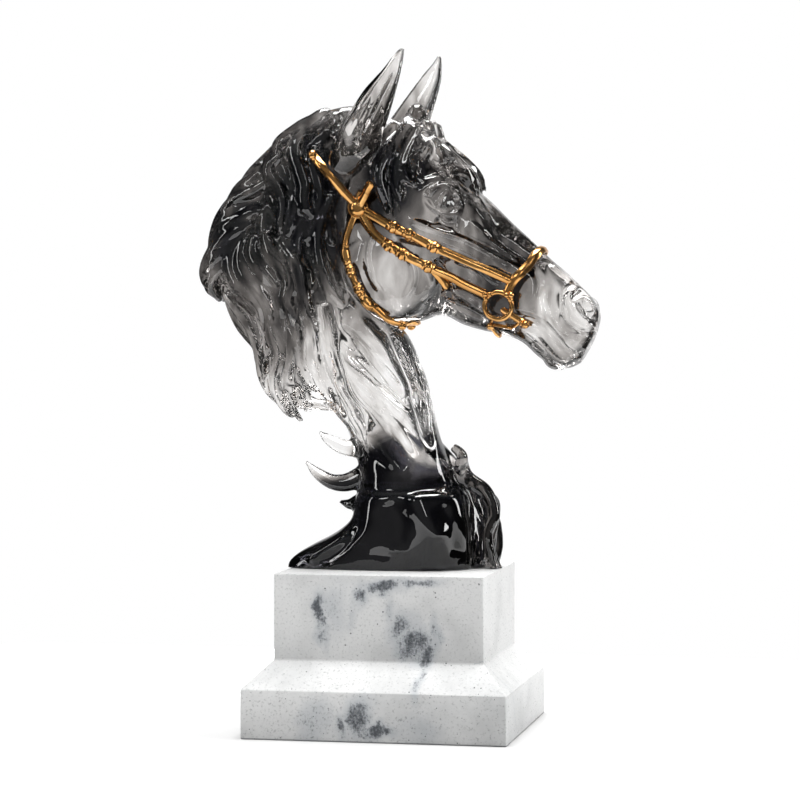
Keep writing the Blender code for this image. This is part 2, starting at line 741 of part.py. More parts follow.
def bead_shape(centre, radius):
    shape = bmesh.new()
    ball(shape, centre, (radius,) * 3, BEAD_SEGMENTS, BEAD_RINGS)
    return shape


def bead(surface, row, radius, reach_below=AIM_REACH):
    """A small ball that sits on the bust where a row of a route points."""
    point, out, _ = hit(surface, row, reach_below=reach_below)
    rise = rise_above(surface, point, out, [Vector()] + circle(*plane_axes(out), 0.8 * radius, LOOK_POINTS))
    return bead_shape(point + out * (rise + STRAP_GAP + radius), radius)


def boss(surface, turn):
    point, out, _ = hit(surface, (*BOSS, turn))
    rim = circle(*plane_axes(out), BOSS_RADIUS, LOOK_POINTS)
    footprint = rim + [offset / 2 for offset in rim] + [Vector()]
    rise = rise_above(surface, point, out, footprint)
    return dome(point + out * (rise + STRAP_GAP), out, BOSS_RADIUS, BOSS_HEIGHT)


def bit_ring(surface, turn):
    """The ring at the corner of the mouth, with the clasps that end two straps on it."""
    point, _, out = hit(surface, (*BIT_RING, turn))
    ahead, upward = plane_axes(out)
    rise = rise_above(surface, point, out, circle(ahead, upward, BIT_RING_RADIUS, LOOK_POINTS))
    centre = point + out * (rise + STRAP_GAP + BIT_RING_WIRE)
    bpy.ops.mesh.primitive_torus_add(
        location=centre,
        rotation=out.to_track_quat("Z", "X").to_euler(),
        major_radius=BIT_RING_RADIUS,
        minor_radius=BIT_RING_WIRE,
        major_segments=RING_SEGMENTS,
        minor_segments=WIRE_SEGMENTS,
    )
    ring = bpy.context.object
    clasps = []
    for degrees in CLASP_ANGLES:
        angle = math.radians(degrees)
        rim = (ahead * math.cos(angle) + upward * math.sin(angle)) * BIT_RING_RADIUS
        clasps.append(bead_shape(centre + rim + out * (CLASP_RADIUS - BIT_RING_WIRE), CLASP_RADIUS))
    return ring, clasps


def side_pieces(surface, side, mirrored):
    """The straps and bosses of one side: (name, bmesh) each."""
    turn = 180 if side == "far" else 0
    straps = {
        "crown_strap": (CROWN_STRAP, CROWN_STRAP_WIDTH),
        "browband": (BROWBAND, CHEEK_STRAP_WIDTH),
        "upper_cheek_strap": (UPPER_CHEEK_STRAP, CHEEK_STRAP_WIDTH),
        "lower_cheek_strap": (LOWER_CHEEK_STRAP, CHEEK_STRAP_WIDTH),
        "cheek_tab": (CHEEK_TAB, CHEEK_STRAP_WIDTH),
        "bit_bar": (BIT_BAR, BIT_BAR_WIDTH),
        "curb_bar": (CURB_BAR, CURB_WIDTH),
    }
    for name, (route, width) in straps.items():
        yield name, strap(surface, mirrored(route), width)
    yield "boss", boss(surface, turn)
    yield "bit_knob", bead(surface, mirrored(BIT_BAR)[-1], CLASP_RADIUS)
    yield "curb_ball", bead(surface, mirrored(CURB_BAR)[0], CLASP_RADIUS)
    yield "throat_ball", bead(surface, mirrored(THROATLATCH)[THROAT_BALL_ROW], BALL_RADIUS, THROAT_REACH)


def make_bridle(bust, parts, helpers):
    """The straps, bosses and bit rings, joined into one gilt casting that lies on the bust."""
    surface = BVHTree.FromObject(bust, bpy.context.evaluated_depsgraph_get())
    joined = bpy.data.collections.new("bridle_pieces")
    helpers.children.link(joined)
    throatlatch = strap(surface, across_to_far(THROATLATCH), THROATLATCH_WIDTH, reach_below=THROAT_REACH)
    as_cutter(add_object("throatlatch", throatlatch, joined))
    as_cutter(add_object("curb_strap", strap(surface, across_to_far(CURB_STRAP), CURB_WIDTH), joined))
    for side, mirrored in (("near", list), ("far", on_far_side)):
        for name, shape in side_pieces(surface, side, mirrored):
            as_cutter(add_object(f"{name}_{side}", shape, joined))
        ring, clasps = bit_ring(surface, 180 if side == "far" else 0)
        as_cutter(moved_to(ring, f"bit_ring_{side}", joined))
        for number, shape in enumerate(clasps, 1):
            as_cutter(add_object(f"clasp_{number}_{side}", shape, joined))
    noseband = strap(surface, across_to_far(NOSEBAND), NOSEBAND_WIDTH, NOSEBAND_UP)
    bridle = add_object("bridle", noseband, parts)
    join = bridle.modifiers.new("join", "BOOLEAN")
    join.operation = "UNION"
    join.solver = "EXACT"
    join.operand_type = "COLLECTION"
    join.collection = joined
    bridle.data.materials.append(material("gilt_metal", (0.72, 0.43, 0.17), 0.28, metallic=1.0))


def clear_scene():
    for old in list(bpy.data.objects):
        bpy.data.objects.remove(old)


def main():
    clear_scene()
    parts = bpy.data.collections.new("horse_head_figurine")
    helpers = bpy.data.collections.new("helpers")
    bpy.context.scene.collection.children.link(parts)
    bpy.context.scene.collection.children.link(helpers)
    make_plinth(parts)
    bust = make_bust(parts, helpers)
    make_bridle(bust, parts, helpers)


main()
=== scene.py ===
"""Visual model of the horse head figurine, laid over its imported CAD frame.

A smoke-tinted clear resin bust with flowing hair, a gilt bridle laid on it, and a stepped plinth of white
stone effect. Metres, +Z up: the nose points to +X and the side seen in the photograph faces -Y.
"""

import itertools
import math
import random

import bmesh
import bpy
import numpy as np
from mathutils import Matrix, Vector, noise
from mathutils.bvhtree import BVHTree


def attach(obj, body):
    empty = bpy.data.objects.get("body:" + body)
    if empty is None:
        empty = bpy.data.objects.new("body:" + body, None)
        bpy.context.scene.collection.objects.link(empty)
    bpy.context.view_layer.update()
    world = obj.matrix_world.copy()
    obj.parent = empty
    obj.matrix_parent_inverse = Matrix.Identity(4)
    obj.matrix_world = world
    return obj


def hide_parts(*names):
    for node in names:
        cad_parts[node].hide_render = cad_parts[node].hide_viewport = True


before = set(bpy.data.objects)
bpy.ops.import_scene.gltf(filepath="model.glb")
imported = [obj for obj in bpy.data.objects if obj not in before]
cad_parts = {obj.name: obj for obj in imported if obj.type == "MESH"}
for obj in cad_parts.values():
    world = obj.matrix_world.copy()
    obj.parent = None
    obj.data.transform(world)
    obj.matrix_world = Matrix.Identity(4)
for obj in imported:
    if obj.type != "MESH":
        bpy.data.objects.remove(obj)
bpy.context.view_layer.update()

MM = 0.001
SEED = 20
SHARP_ANGLE = 32

# Plinth: a slab, a sloping shoulder and a die that the bust stands on.
SLAB_LENGTH = 166 * MM
SLAB_DEPTH = 156 * MM
SLAB_HEIGHT = 30.6 * MM
SHOULDER_HEIGHT = 17 * MM
DIE_LENGTH = 132 * MM
DIE_DEPTH = 120 * MM
DIE_HEIGHT = 53.4 * MM
PLINTH_EDGE = 0.9 * MM
PLINTH_EDGE_SEGMENTS = 4
PLINTH_HEIGHT = SLAB_HEIGHT + SHOULDER_HEIGHT + DIE_HEIGHT

# Bust: drawn in millimetres from the middle of its foot.
SEAT_GAP = 0.3 * MM
FOOT_LEVEL = PLINTH_HEIGHT + SEAT_GAP
BUST_VOXEL = 1.25 * MM
BUST_SMOOTHING = 5
BUST_SOFTNESS = 0.5
BUST_TRIANGLES = 190000
RING_POINTS = 72
TRUNK_STEPS = 5
FOOT_STEPS = 3
LOCK_RING_POINTS = 40
LOCK_STEPS = 7
THINNEST_LOCK = 0.35
BALL_RINGS = 20
RIPPLE_HEIGHT = 0.25
RIPPLE_LENGTH = 13.0

# How a point of the bust shows on the photograph: its pixels follow from the drawn millimetres.
PHOTO_MM = 0.648
PHOTO_LEFT = 257.5
PHOTO_TOP = 360.7
PHOTO_RISE = 0.6355
PHOTO_SLANT = 0.2

# Bridle.
CHEEK_STRAP_WIDTH = 5.4 * MM
CROWN_STRAP_WIDTH = 5.6 * MM
THROATLATCH_WIDTH = 4.8 * MM
NOSEBAND_WIDTH = 5.8 * MM
CURB_WIDTH = 2.0 * MM
BIT_BAR_WIDTH = 4.2 * MM
STRAP_THICKNESS = 2.4 * MM
STRAP_GAP = 0.35 * MM
STATION_SPACING = 0.7 * MM
COLLAR_SWELL = 0.45
COLLAR_HALF_LENGTH = 1.7
COLLAR_RING_SWELL = 0.8 * COLLAR_SWELL
COLLAR_RING_GAP = 1.3
COLLAR_RING_HALF = 0.55
SLEEVE_POWER = 1.3
STRAP_END_WIDTH = 0.55
STRAP_END_WIDENING = 0.25
SETTLING = 3.2 * MM
BOSS_RADIUS = 6.8 * MM
BOSS_HEIGHT = 4.4 * MM
BALL_RADIUS = 3.0 * MM
CLASP_RADIUS = 2.5 * MM
CLASP_SPREAD = 0.72
CLASP_BEAD = 0.72
CLASP_TIP = 0.8
CLASP_TIP_REACH = 0.9
CROWN_BALL_SHARE = 0.55
BIT_RING_RADIUS = 8.6 * MM
BIT_RING_WIRE = 1.65 * MM


def at(u, v, w):
    """A point of the bust, drawn in millimetres from the middle of its foot, in the part's frame."""
    return Vector((u * MM, v * MM, FOOT_LEVEL + w * MM))


def add_object(name, shape):
    """An object made of a finished bmesh, with its faces pointing out."""
    bmesh.ops.recalc_face_normals(shape, faces=shape.faces)
    mesh = bpy.data.meshes.new(name)
    shape.to_mesh(mesh)
    shape.free()
    made = bpy.data.objects.new(name, mesh)
    bpy.context.scene.collection.objects.link(made)
    return made


def loft(shape, rings):
    """Adds a closed solid through rings of equal point count to the bmesh, with flat ends."""
    rows = [[shape.verts.new(point) for point in ring] for ring in rings]
    for low, high in zip(rows, rows[1:]):
        for k in range(len(low)):
            after = (k + 1) % len(low)
            shape.faces.new((low[k], low[after], high[after], high[k]))
    shape.faces.new(tuple(reversed(rows[0])))
    shape.faces.new(rows[-1])


def catmull(a, b, c, d, t):
    """One value of a smooth curve from b to c, with a before and d after."""
    return 0.5 * (2 * b + (c - a) * t + (2 * a - 5 * b + 4 * c - d) * t**2 + (3 * b - a - 3 * c + d) * t**3)


def refine(rows, steps):
    """Rows of numbers, with a smooth curve through them and steps rows for each one."""
    last = len(rows) - 1
    fine = []
    for k in range(last):
        near = [rows[max(k - 1, 0)], rows[k], rows[k + 1], rows[min(k + 2, last)]]
        for step in range(steps):
            fine.append([catmull(*values, step / steps) for values in zip(*near)])
    fine.append(list(rows[last]))
    return fine


def power(value, exponent):
    return math.copysign(abs(value) ** exponent, value)


def cleft(angle, strands, phase):
    """0 on the crown of each strand around a lock, and 1 in the sharp furrows between them."""
    return 1 - abs(math.cos(strands * angle / 2 + phase))


def section(top, bottom, half_width, swell, square):
    """A ring round the line from top to bottom: swell widens its top, square above 2 flattens its sides."""
    middle = (Vector(top) + Vector(bottom)) / 2
    rise = (Vector(top) - Vector(bottom)) / 2
    ring = []
    for k in range(RING_POINTS):
        angle = 2 * math.pi * k / RING_POINTS
        up = power(math.cos(angle), 2 / square)
        side = power(math.sin(angle), 2 / square) * half_width * (1 + swell * up)
        ring.append(at(middle.x + rise.x * up, side, middle.y + rise.y * up))
    return ring


def trunk(shape, rows):
    """A solid through sections: (top u, top w, bottom u, bottom w, half width, swell, square) each."""
    loft(shape, [section(row[0:2], row[2:4], *row[4:7]) for row in refine(rows, TRUNK_STEPS)])


def framed(centres, facing):
    """The directions across a strand and out of its flat side, at each of its centres."""
    frames = []
    for k in range(len(centres)):
        along = (centres[min(k + 1, len(centres) - 1)] - centres[max(k - 1, 0)]).normalized()
        across = along.cross(Vector(facing)).normalized()
        frames.append((across, across.cross(along).normalized()))
    return frames


def lock(shape, rows, facing, strands=0, groove=0.0, twist=0.0):
    """A lock of hair: (u, v, w, half width, half thickness) each, its flat side towards facing."""
    fine = refine(rows, LOCK_STEPS)
    centres = [Vector(r[:3]) for r in fine]
    rings = []
    for k, (across, out) in enumerate(framed(centres, facing)):
        half_width = max(fine[k][3], THINNEST_LOCK)
        half_thickness = max(fine[k][4], THINNEST_LOCK)
        ring = []
        for n in range(LOCK_RING_POINTS):
            angle = 2 * math.pi * n / LOCK_RING_POINTS
            reach = 1 - groove * cleft(angle, strands, twist * k / len(fine))
            offset = across * math.cos(angle) * half_width
            offset += out * math.sin(angle) * half_thickness
            ring.append(at(*(centres[k] + offset * reach)))
        rings.append(ring)
    loft(shape, rings)


def from_photo(rows):
    """Rows of a lock whose first two numbers are pixels of the photograph, as rows in drawn millimetres."""
    placed = []
    for x, y, v, half_width, half_thickness in rows:
        place = (PHOTO_MM * x - PHOTO_LEFT - PHOTO_SLANT * v, v, PHOTO_TOP - PHOTO_RISE * y)
        placed.append((*place, half_width, half_thickness))
    return placed


def skin_at(skin, u, w):
    """The first point of the skin that is met from the near side, or None beside it."""
    return skin.ray_cast(at(u, RAY_START, w), Vector((0, 1, 0)))[0]


def drawn_in(skin, u, w, reach):
    """The place moved until the skin lies behind it all round, as far as the reach."""
    angles = [math.tau * k / INSET_WAYS for k in range(INSET_WAYS)]
    ways = [(math.cos(angle), math.sin(angle)) for angle in angles]
    for _ in range(INSET_ROUNDS):
        free = [way for way in ways if not skin_at(skin, u + way[0] * reach, w + way[1] * reach)]
        u -= sum(way[0] for way in free) * reach / INSET_WAYS
        w -= sum(way[1] for way in free) * reach / INSET_WAYS
    return u, w


def laid_on(skin, rows):
    """The rows of a strand moved to lie on the hair that is already there, inside its outline."""
    inside = []
    depths = []
    for u, v, w, half_width, half_thickness in rows:
        u, w = drawn_in(skin, u, w, half_width)
        place = skin_at(skin, u, w)
        inside.append((u, v, w, half_width, half_thickness))
        depths.append(place.y / MM if place else v)
    placed = []
    for k, (u, v, w, half_width, half_thickness) in enumerate(inside):
        close_by = depths[max(k - 1, 0) : k + 2]
        depth = sum(close_by) / len(close_by) - CURL_RISE * half_thickness
        placed.append((u + PHOTO_SLANT * (v - depth), depth, w, half_width, half_thickness))
    return placed


def tucked_in(rows):
    """The strand moved towards the neck's middle, the more the lower it hangs, to leave room for curls."""
    tucked = []
    for u, v, w, *rest in rows:
        share = min(max((w - TUCK_LOW) / (TUCK_HIGH - TUCK_LOW), 0), 1)
        tucked.append((u, v * (TUCKED_LOW + (TUCKED_HIGH - TUCKED_LOW) * share), w, *rest))
    return tucked


def other_side(rows, spread=1.0):
    """The same strand on the far side of the neck."""
    return [(r[0], -r[1] * spread, *r[2:]) for r in rows]


def ball(shape, centre, radii, segments=RING_POINTS, rings=BALL_RINGS):
    """Adds an ellipsoid to the bmesh, with its centre and radii in metres."""
    rows = []
    for k in range(rings):
        latitude = math.pi * ((k + 0.5) / rings - 0.5)
        row = []
        for n in range(segments):
            angle = 2 * math.pi * n / segments
            way = Vector((math.cos(angle), math.sin(angle), 0)) * math.cos(latitude)
            way.z = math.sin(latitude)
            row.append(centre + way * Vector(radii))
        rows.append(row)
    loft(shape, rows)


# The head, from behind the poll to the lips.
HEAD = [
    (-20, 280, -40, 214, 15, 0.0, 2.2),
    (0, 280, -33, 194, 23, 0.1, 2.2),
    (17, 272.5, -19, 171, 26, 0.15, 2.2),
    (32, 257.5, -1, 158, 27, 0.2, 2.3),
    (49, 241, 14, 156, 25, 0.22, 2.3),
    (61, 231, 29, 160, 22, 0.12, 2.3),
    (73, 219, 43, 154, 18.5, 0.02, 2.2),
    (85, 208, 57, 150, 16.5, 0.0, 2.2),
    (97, 196.5, 70, 147.5, 15.8, 0.0, 2.2),
    (108, 187, 81, 142.5, 16.5, 0.0, 2.3),
    (117, 178.5, 91, 133.5, 18, 0.05, 2.3),
    (125, 170, 101, 128, 18.5, 0.08, 2.3),
    (129.5, 160.5, 110, 126.5, 16, 0.05, 2.2),
    (127.5, 149.5, 117.5, 130, 10, 0.0, 2.0),
]

# The neck, from behind the poll to where it meets the foot block.
NECK = [
    (-42, 280, 0, 240, 16, 0.0, 2.1),
    (-69, 256, -22, 199, 19, 0.0, 2.1),
    (-81, 224, -26, 176, 21, 0.0, 2.1),
    (-84, 192, -4, 158, 22, 0.0, 2.1),
    (-76, 161, 7, 147, 21.5, 0.0, 2.1),
    (-63, 136, 13.5, 133, 20.5, 0.0, 2.1),
    (-49, 116, 19, 118.5, 19.5, 0.0, 2.1),
    (-37, 97, 23.5, 99, 19.5, 0.0, 2.1),
    (-29.5, 81, 28, 81, 20, 0.0, 2.1),
    (-25, 65, 34.5, 65, 23, 0.0, 2.2),
    (-24, 49, 41, 49, 27, 0.0, 2.4),
    (-24, 36, 44, 36, 28, 0.0, 2.5),
]

# The mass of hair that the locks of the mane lie on.
MANE = [
    (-46, 290, -30, 264, 11, 0.0, 2.0),
    (-72, 273, -50, 240, 14, 0.0, 2.0),
    (-94, 248, -60, 211, 16, 0.0, 2.0),
    (-108, 223, -63, 192, 17, 0.0, 2.0),
    (-117, 196, -57, 176, 17, 0.0, 2.0),
    (-110, 170, -47, 160, 16, 0.0, 2.0),
    (-99, 148, -40, 141, 13.5, 0.0, 2.0),
    (-89, 127, -39, 124, 12, 0.0, 2.0),
    (-81, 113, -42, 112, 9, 0.0, 2.0),
]

# The foot block: (back u, front u, near v, far v, w, square) each, its back swept out into a wing.
FOOT = [
    (-21, 42, -23.5, 25, 52, 2.6),
    (-24.5, 45.5, -29.5, 28, 47, 2.8),
    (-26, 47.5, -31, 30, 40, 2.9),
    (-28, 48.5, -31.5, 31, 31, 2.9),
    (-37, 49, -31.5, 31, 23, 2.8),
    (-50, 49, -31, 31, 16, 2.6),
    (-61, 49, -30, 31, 9.5, 2.4),
    (-67.5, 49, -29.5, 31, 3, 2.3),
    (-67.5, 49, -29, 31, -6, 2.3),
]
WING_TIP = -67.5
WING_SET_NEAR = 15.0
WING_NARROWING = 0.5

NEAR = (0, -1, 0)
FAR = (0, 1, 0)
BACK = (-0.75, -0.5, 0.45)
BREAST = (1, 0.3, 0)
FAR_SPREAD = 0.9

# Rolls of hair over the crest, which make the back of the outline.
CREST_LOCKS = [
    [
        (-16, -4, 286, 7, 6), (-32, -5, 286, 8, 7), (-48, -6, 281, 8, 7), (-64, -6, 271, 8, 7),
        (-79, -6, 257, 7, 6), (-90, -6, 246, 2, 2),
    ],
    [
        (-42, -8, 277, 7, 7), (-59, -9, 267, 8, 8), (-74, -10, 255, 8, 8), (-85, -11, 243, 7, 7),
        (-92, -11, 232, 3, 3),
    ],
    [
        (-66, -6, 260, 7, 7), (-81, -7, 253, 8, 8), (-94, -7, 241, 8, 8), (-102, -8, 228, 6, 6),
        (-106, -8, 216, 2, 2),
    ],
    [
        (-76, -8, 243, 8, 8), (-95, -9, 236, 9, 9), (-108, -9, 222, 9, 9), (-115, -9, 206, 8, 7),
        (-116, -8, 192, 3, 3),
    ],
    [
        (-86, -10, 222, 8, 8), (-103, -9, 212, 9, 9), (-117, -8, 196, 9, 9), (-121, -7, 183, 7, 7),
        (-114, -6, 169, 2, 2),
    ],
]

# Locks that fall over the near side of the neck behind the ear.
SIDE_LOCKS = [
    [
        (-34, -15, 284, 6, 5), (-52, -20, 278, 7, 6), (-66, -24, 266, 7, 6), (-76, -27, 250, 6, 6),
        (-74, -29, 236, 6, 5), (-66, -29, 220, 6, 5), (-65, -28, 206, 5, 4), (-65, -27, 194, 1.5, 1.5),
    ],
    [
        (-32, -18, 276, 6, 5), (-46, -23, 271, 7, 6), (-56, -27, 258, 6, 6), (-58, -29, 244, 6, 5),
        (-53, -29, 231, 5, 5), (-50, -28, 221, 2, 2),
    ],
    [
        (-34, -20, 262, 6, 5), (-45, -24, 252, 6, 5), (-47, -26, 238, 6, 5), (-42, -26, 222, 5, 4),
        (-38, -25, 205, 2, 2),
    ],
    [
        (-70, -20, 240, 7, 6), (-78, -24, 226, 7, 6), (-80, -25, 210, 7, 6), (-76, -26, 196, 5, 5),
        (-70, -26, 184, 2, 2),
    ],
]

# The long hanging locks of the mane.
LONG_LOCKS = [
    [
        (-88, -12, 214, 6, 6), (-99, -14, 194, 8, 7), (-104, -14, 176, 8, 7), (-98, -14, 157, 8, 7),
        (-86, -13, 141, 8, 6), (-82, -12, 124, 7, 5), (-77, -12, 110, 5, 4), (-62, -11, 92, 1, 1),
    ],
    [
        (-86, -18, 212, 6, 5), (-90, -21, 192, 7, 6), (-84, -23, 173, 8, 6), (-74, -24, 154, 8, 6),
        (-72, -23, 134, 7, 5), (-75, -20, 117, 5, 4), (-69, -18, 99, 1.5, 1.5),
    ],
    [
        (-80, -21, 209, 6, 5), (-77, -25, 190, 7, 6), (-65, -28, 176, 8, 6), (-58, -28, 157, 8, 6),
        (-62, -26, 136, 7, 5), (-63, -22, 117, 5, 4), (-58, -19, 98, 1.5, 1.5),
    ],
    [
        (-70, -22, 205, 6, 5), (-62, -27, 192, 7, 6), (-50, -29, 176, 7, 6), (-46, -29, 154, 7, 6),
        (-49, -26, 132, 6, 5), (-43, -22, 114, 4, 4), (-37, -19, 96, 1, 1),
    ],
    [
        (-62, -22, 200, 6, 5), (-46, -27, 184, 6, 5), (-36, -28, 160, 6, 5), (-33, -27, 138, 6, 5),
        (-36, -24, 118, 5, 4), (-34, -20, 100, 3, 3), (-28, -17, 84, 1, 1),
    ],
]

# Strands of hair that leave the foot of the neck at the back.
TUFTS = [
    [(-20, -8, 74, 6, 5), (-33, -8, 76, 5.5, 4), (-43, -8, 81, 4, 3), (-49.5, -8, 86, 1, 1)],
    [
        (-18, -10, 60, 7, 5), (-29, -11, 54, 6.5, 4.5), (-40, -11, 54, 5.5, 4), (-50, -11, 60, 4, 3),
        (-57, -11, 67, 1, 1),
    ],
    [(-18, -8, 44, 6, 5), (-28, -8, 40, 4.5, 4), (-36, -8, 42, 1, 1)],
]

# The forelock, over the brow and in front of the ear.
FORELOCKS = [
    [
        (2, -3, 282, 7, 5), (18, -4, 270, 7, 5), (33, -5, 257.5, 6.5, 5), (46.5, -5, 246.5, 5, 4.5),
        (53, -5, 237, 1.5, 1.5),
    ],
    [
        (4, -8, 281, 6, 5), (20, -13, 269, 7, 5), (33, -17, 257, 6, 5), (44, -17, 246, 5, 4),
        (52, -13, 233, 1.5, 1.5),
    ],
    [
        (4, -14, 279, 6, 5), (9, -20, 267, 6, 5), (8, -25, 256, 5, 4), (10, -28, 247, 4, 4),
        (18, -29, 241, 1.5, 1.5),
    ],
    [
        (0, -14, 281, 6, 5), (-5, -22, 270, 6, 5), (-6, -28, 256, 6, 5), (-5, -31, 241, 5, 4),
        (1, -30, 222, 1.5, 1.5),
    ],
]

# Folds of hair over the breast, on the far side of the foot block.
BREAST_LOCKS = [
    [
        (18, 4, 83, 5, 5), (26, 6, 71, 7, 8), (36, 8, 57, 8, 9), (43, 8, 40, 8, 9), (46, 6, 18, 8, 9),
        (46, 4, -6, 8, 9),
    ],
    [(27, 12, 68, 5, 6), (38, 15, 57, 7, 9), (49, 16, 42, 7, 9), (53, 16, 22, 7, 9), (50, 14, -6, 7, 9)],
    [(34, 22, 61, 5, 6), (46, 24, 47, 6, 8), (54, 24, 32, 6, 8), (57, 24, 14, 6, 8), (52, 20, -6, 6, 8)],
]

# The ears: (u, v, w, half width, half thickness) from the base to the tip. The far one is pricked forward.
NEAR_EAR = [
    (-34, -18, 246, 4, 5),
    (-31, -26, 251, 9.5, 7),
    (-24.5, -31, 260.5, 12.5, 9),
    (-18, -34, 271, 13.8, 8.5),
    (-8.5, -35, 288, 11, 7),
    (1.8, -35, 307.5, 6.6, 4.2),
    (8, -34, 321, 3.1, 2.2),
    (10.5, -33.5, 326, 1, 1),
]
FAR_EAR = [
    (-14, 16, 254, 6, 6),
    (-7, 19, 266, 11, 7.5),
    (1.5, 22, 280, 13, 6.5),
    (10, 24, 296, 10.5, 5),
    (17.5, 24, 311, 7, 3.5),
    (21.5, 24, 321, 3.5, 2),
    (22.5, 24, 327, 1, 1),
]
NEAR_EAR_FACING = (0.35, -0.9, 0.1)
FAR_EAR_FACING = (0.3, 0.95, 0.1)

# Rounded forms of the head: (centre, radii) each, mirrored where they lie off the middle.
CHEEK = ((1, -12, 190), (32.5, 15, 33.5))
BROW = ((30, -20, 236), (14, 8, 9))
EYEBALL = ((33, -22, 229.5), (6, 7, 4.8))
NOSTRIL_WING = ((119, -11, 163), (9, 8, 9.5))
CHIN = ((103, 0, 132), (9, 9, 6.5))

# Glossy strands that lie on the mass of hair: (x, y) on the photograph, then v, half width and half
# thickness in mm.
BACK_CURLS = [
    # Behind the ear.
    [
        (318, 112, -12, 3.5, 3), (304, 119, -18, 4.5, 4), (291, 130, -22, 4.6, 4),
        (281, 146, -25, 4.4, 4), (279, 159, -27, 4.2, 3.8), (284, 174, -29, 4.2, 3.8),
        (292, 190, -30, 4, 3.6), (296, 207, -30, 3.6, 3.4), (292, 224, -29, 3, 2.8),
        (288, 237, -28, 0.8, 0.8),
    ],
    [
        (332, 114, -14, 4, 3), (322, 121, -20, 5, 4), (307, 133, -25, 5, 4.4), (297, 147, -29, 4.8, 4.2),
        (297, 160, -31, 4.6, 4), (302, 173, -32, 4.4, 4), (306, 187, -32, 4, 3.6),
        (305, 200, -31, 3.8, 3.4), (307, 210, -31, 3.4, 3), (312, 218, -31, 1.6, 1.6),
    ],
    [
        (282, 156, -22, 3, 3), (272, 166, -25, 3.4, 3.2), (270, 175, -27, 3.6, 3.2),
        (277, 186, -28, 3.6, 3.2), (283, 198, -29, 3.4, 3), (284, 212, -28, 3, 2.8),
        (281, 226, -26, 2.6, 2.4), (284, 240, -25, 0.8, 0.8),
    ],
    [
        (316, 150, -27, 3, 3), (314, 166, -30, 3.6, 3), (318, 182, -31, 3.4, 3), (321, 198, -31, 3, 2.6),
        (316, 214, -30, 2.6, 2.4), (309, 232, -29, 2.4, 2.2), (306, 250, -28, 0.8, 0.8),
    ],
    [
        (300, 212, -28, 3, 2.8), (302, 228, -29, 3.6, 3), (298, 244, -29, 3.6, 3),
        (301, 260, -28, 3.2, 2.8), (309, 276, -27, 2.8, 2.4), (312, 292, -26, 0.8, 0.8),
    ],
    [
        (334, 196, -25, 2.4, 2.4), (326, 212, -27, 3, 2.8), (320, 230, -27, 3.2, 2.8),
        (319, 250, -27, 3.2, 2.8), (324, 270, -26, 3, 2.6), (333, 290, -25, 2.6, 2.2),
        (344, 306, -24, 0.8, 0.8),
    ],
    # Ropes over the crest.
    [(283, 134, -20, 2.6, 2.6), (268, 149, -19, 3.8, 3.4), (256, 162, -16, 3.6, 3), (248, 178, -12, 1, 1)],
    [
        (277, 152, -23, 2.6, 2.6), (262, 165, -21, 3.8, 3.4), (248, 174, -17, 3.8, 3.2),
        (236, 185, -12, 1.2, 1.2),
    ],
    [
        (271, 168, -24, 2.6, 2.6), (256, 179, -22, 3.6, 3.4), (240, 188, -18, 3.6, 3.2),
        (227, 201, -12, 1.2, 1.2),
    ],
    [
        (268, 182, -25, 2.6, 2.6), (252, 192, -23, 3.8, 3.4), (236, 199, -19, 3.8, 3.2),
        (221, 213, -12, 1.4, 1.4),
    ],
    [
        (264, 196, -25, 2.6, 2.6), (249, 205, -24, 3.8, 3.4), (232, 212, -20, 3.8, 3.2),
        (216, 226, -13, 1.4, 1.4),
    ],
    [
        (260, 209, -25, 2.6, 2.6), (244, 217, -24, 3.8, 3.4), (227, 226, -20, 3.8, 3.2),
        (212, 241, -13, 1.4, 1.4),
    ],
    [
        (254, 222, -25, 2.6, 2.6), (238, 230, -23, 3.8, 3.4), (222, 241, -19, 3.8, 3.2),
        (207, 258, -13, 1.4, 1.4),
    ],
    [
        (246, 236, -24, 2.6, 2.6), (231, 245, -22, 3.8, 3.4), (216, 257, -18, 3.8, 3.2),
        (204, 273, -12, 1.4, 1.4),
    ],
    [
        (240, 250, -23, 2.6, 2.6), (226, 262, -21, 3.8, 3.4), (213, 275, -18, 3.8, 3.4),
        (209, 288, -15, 3.4, 3), (219, 301, -13, 1, 1),
    ],
]
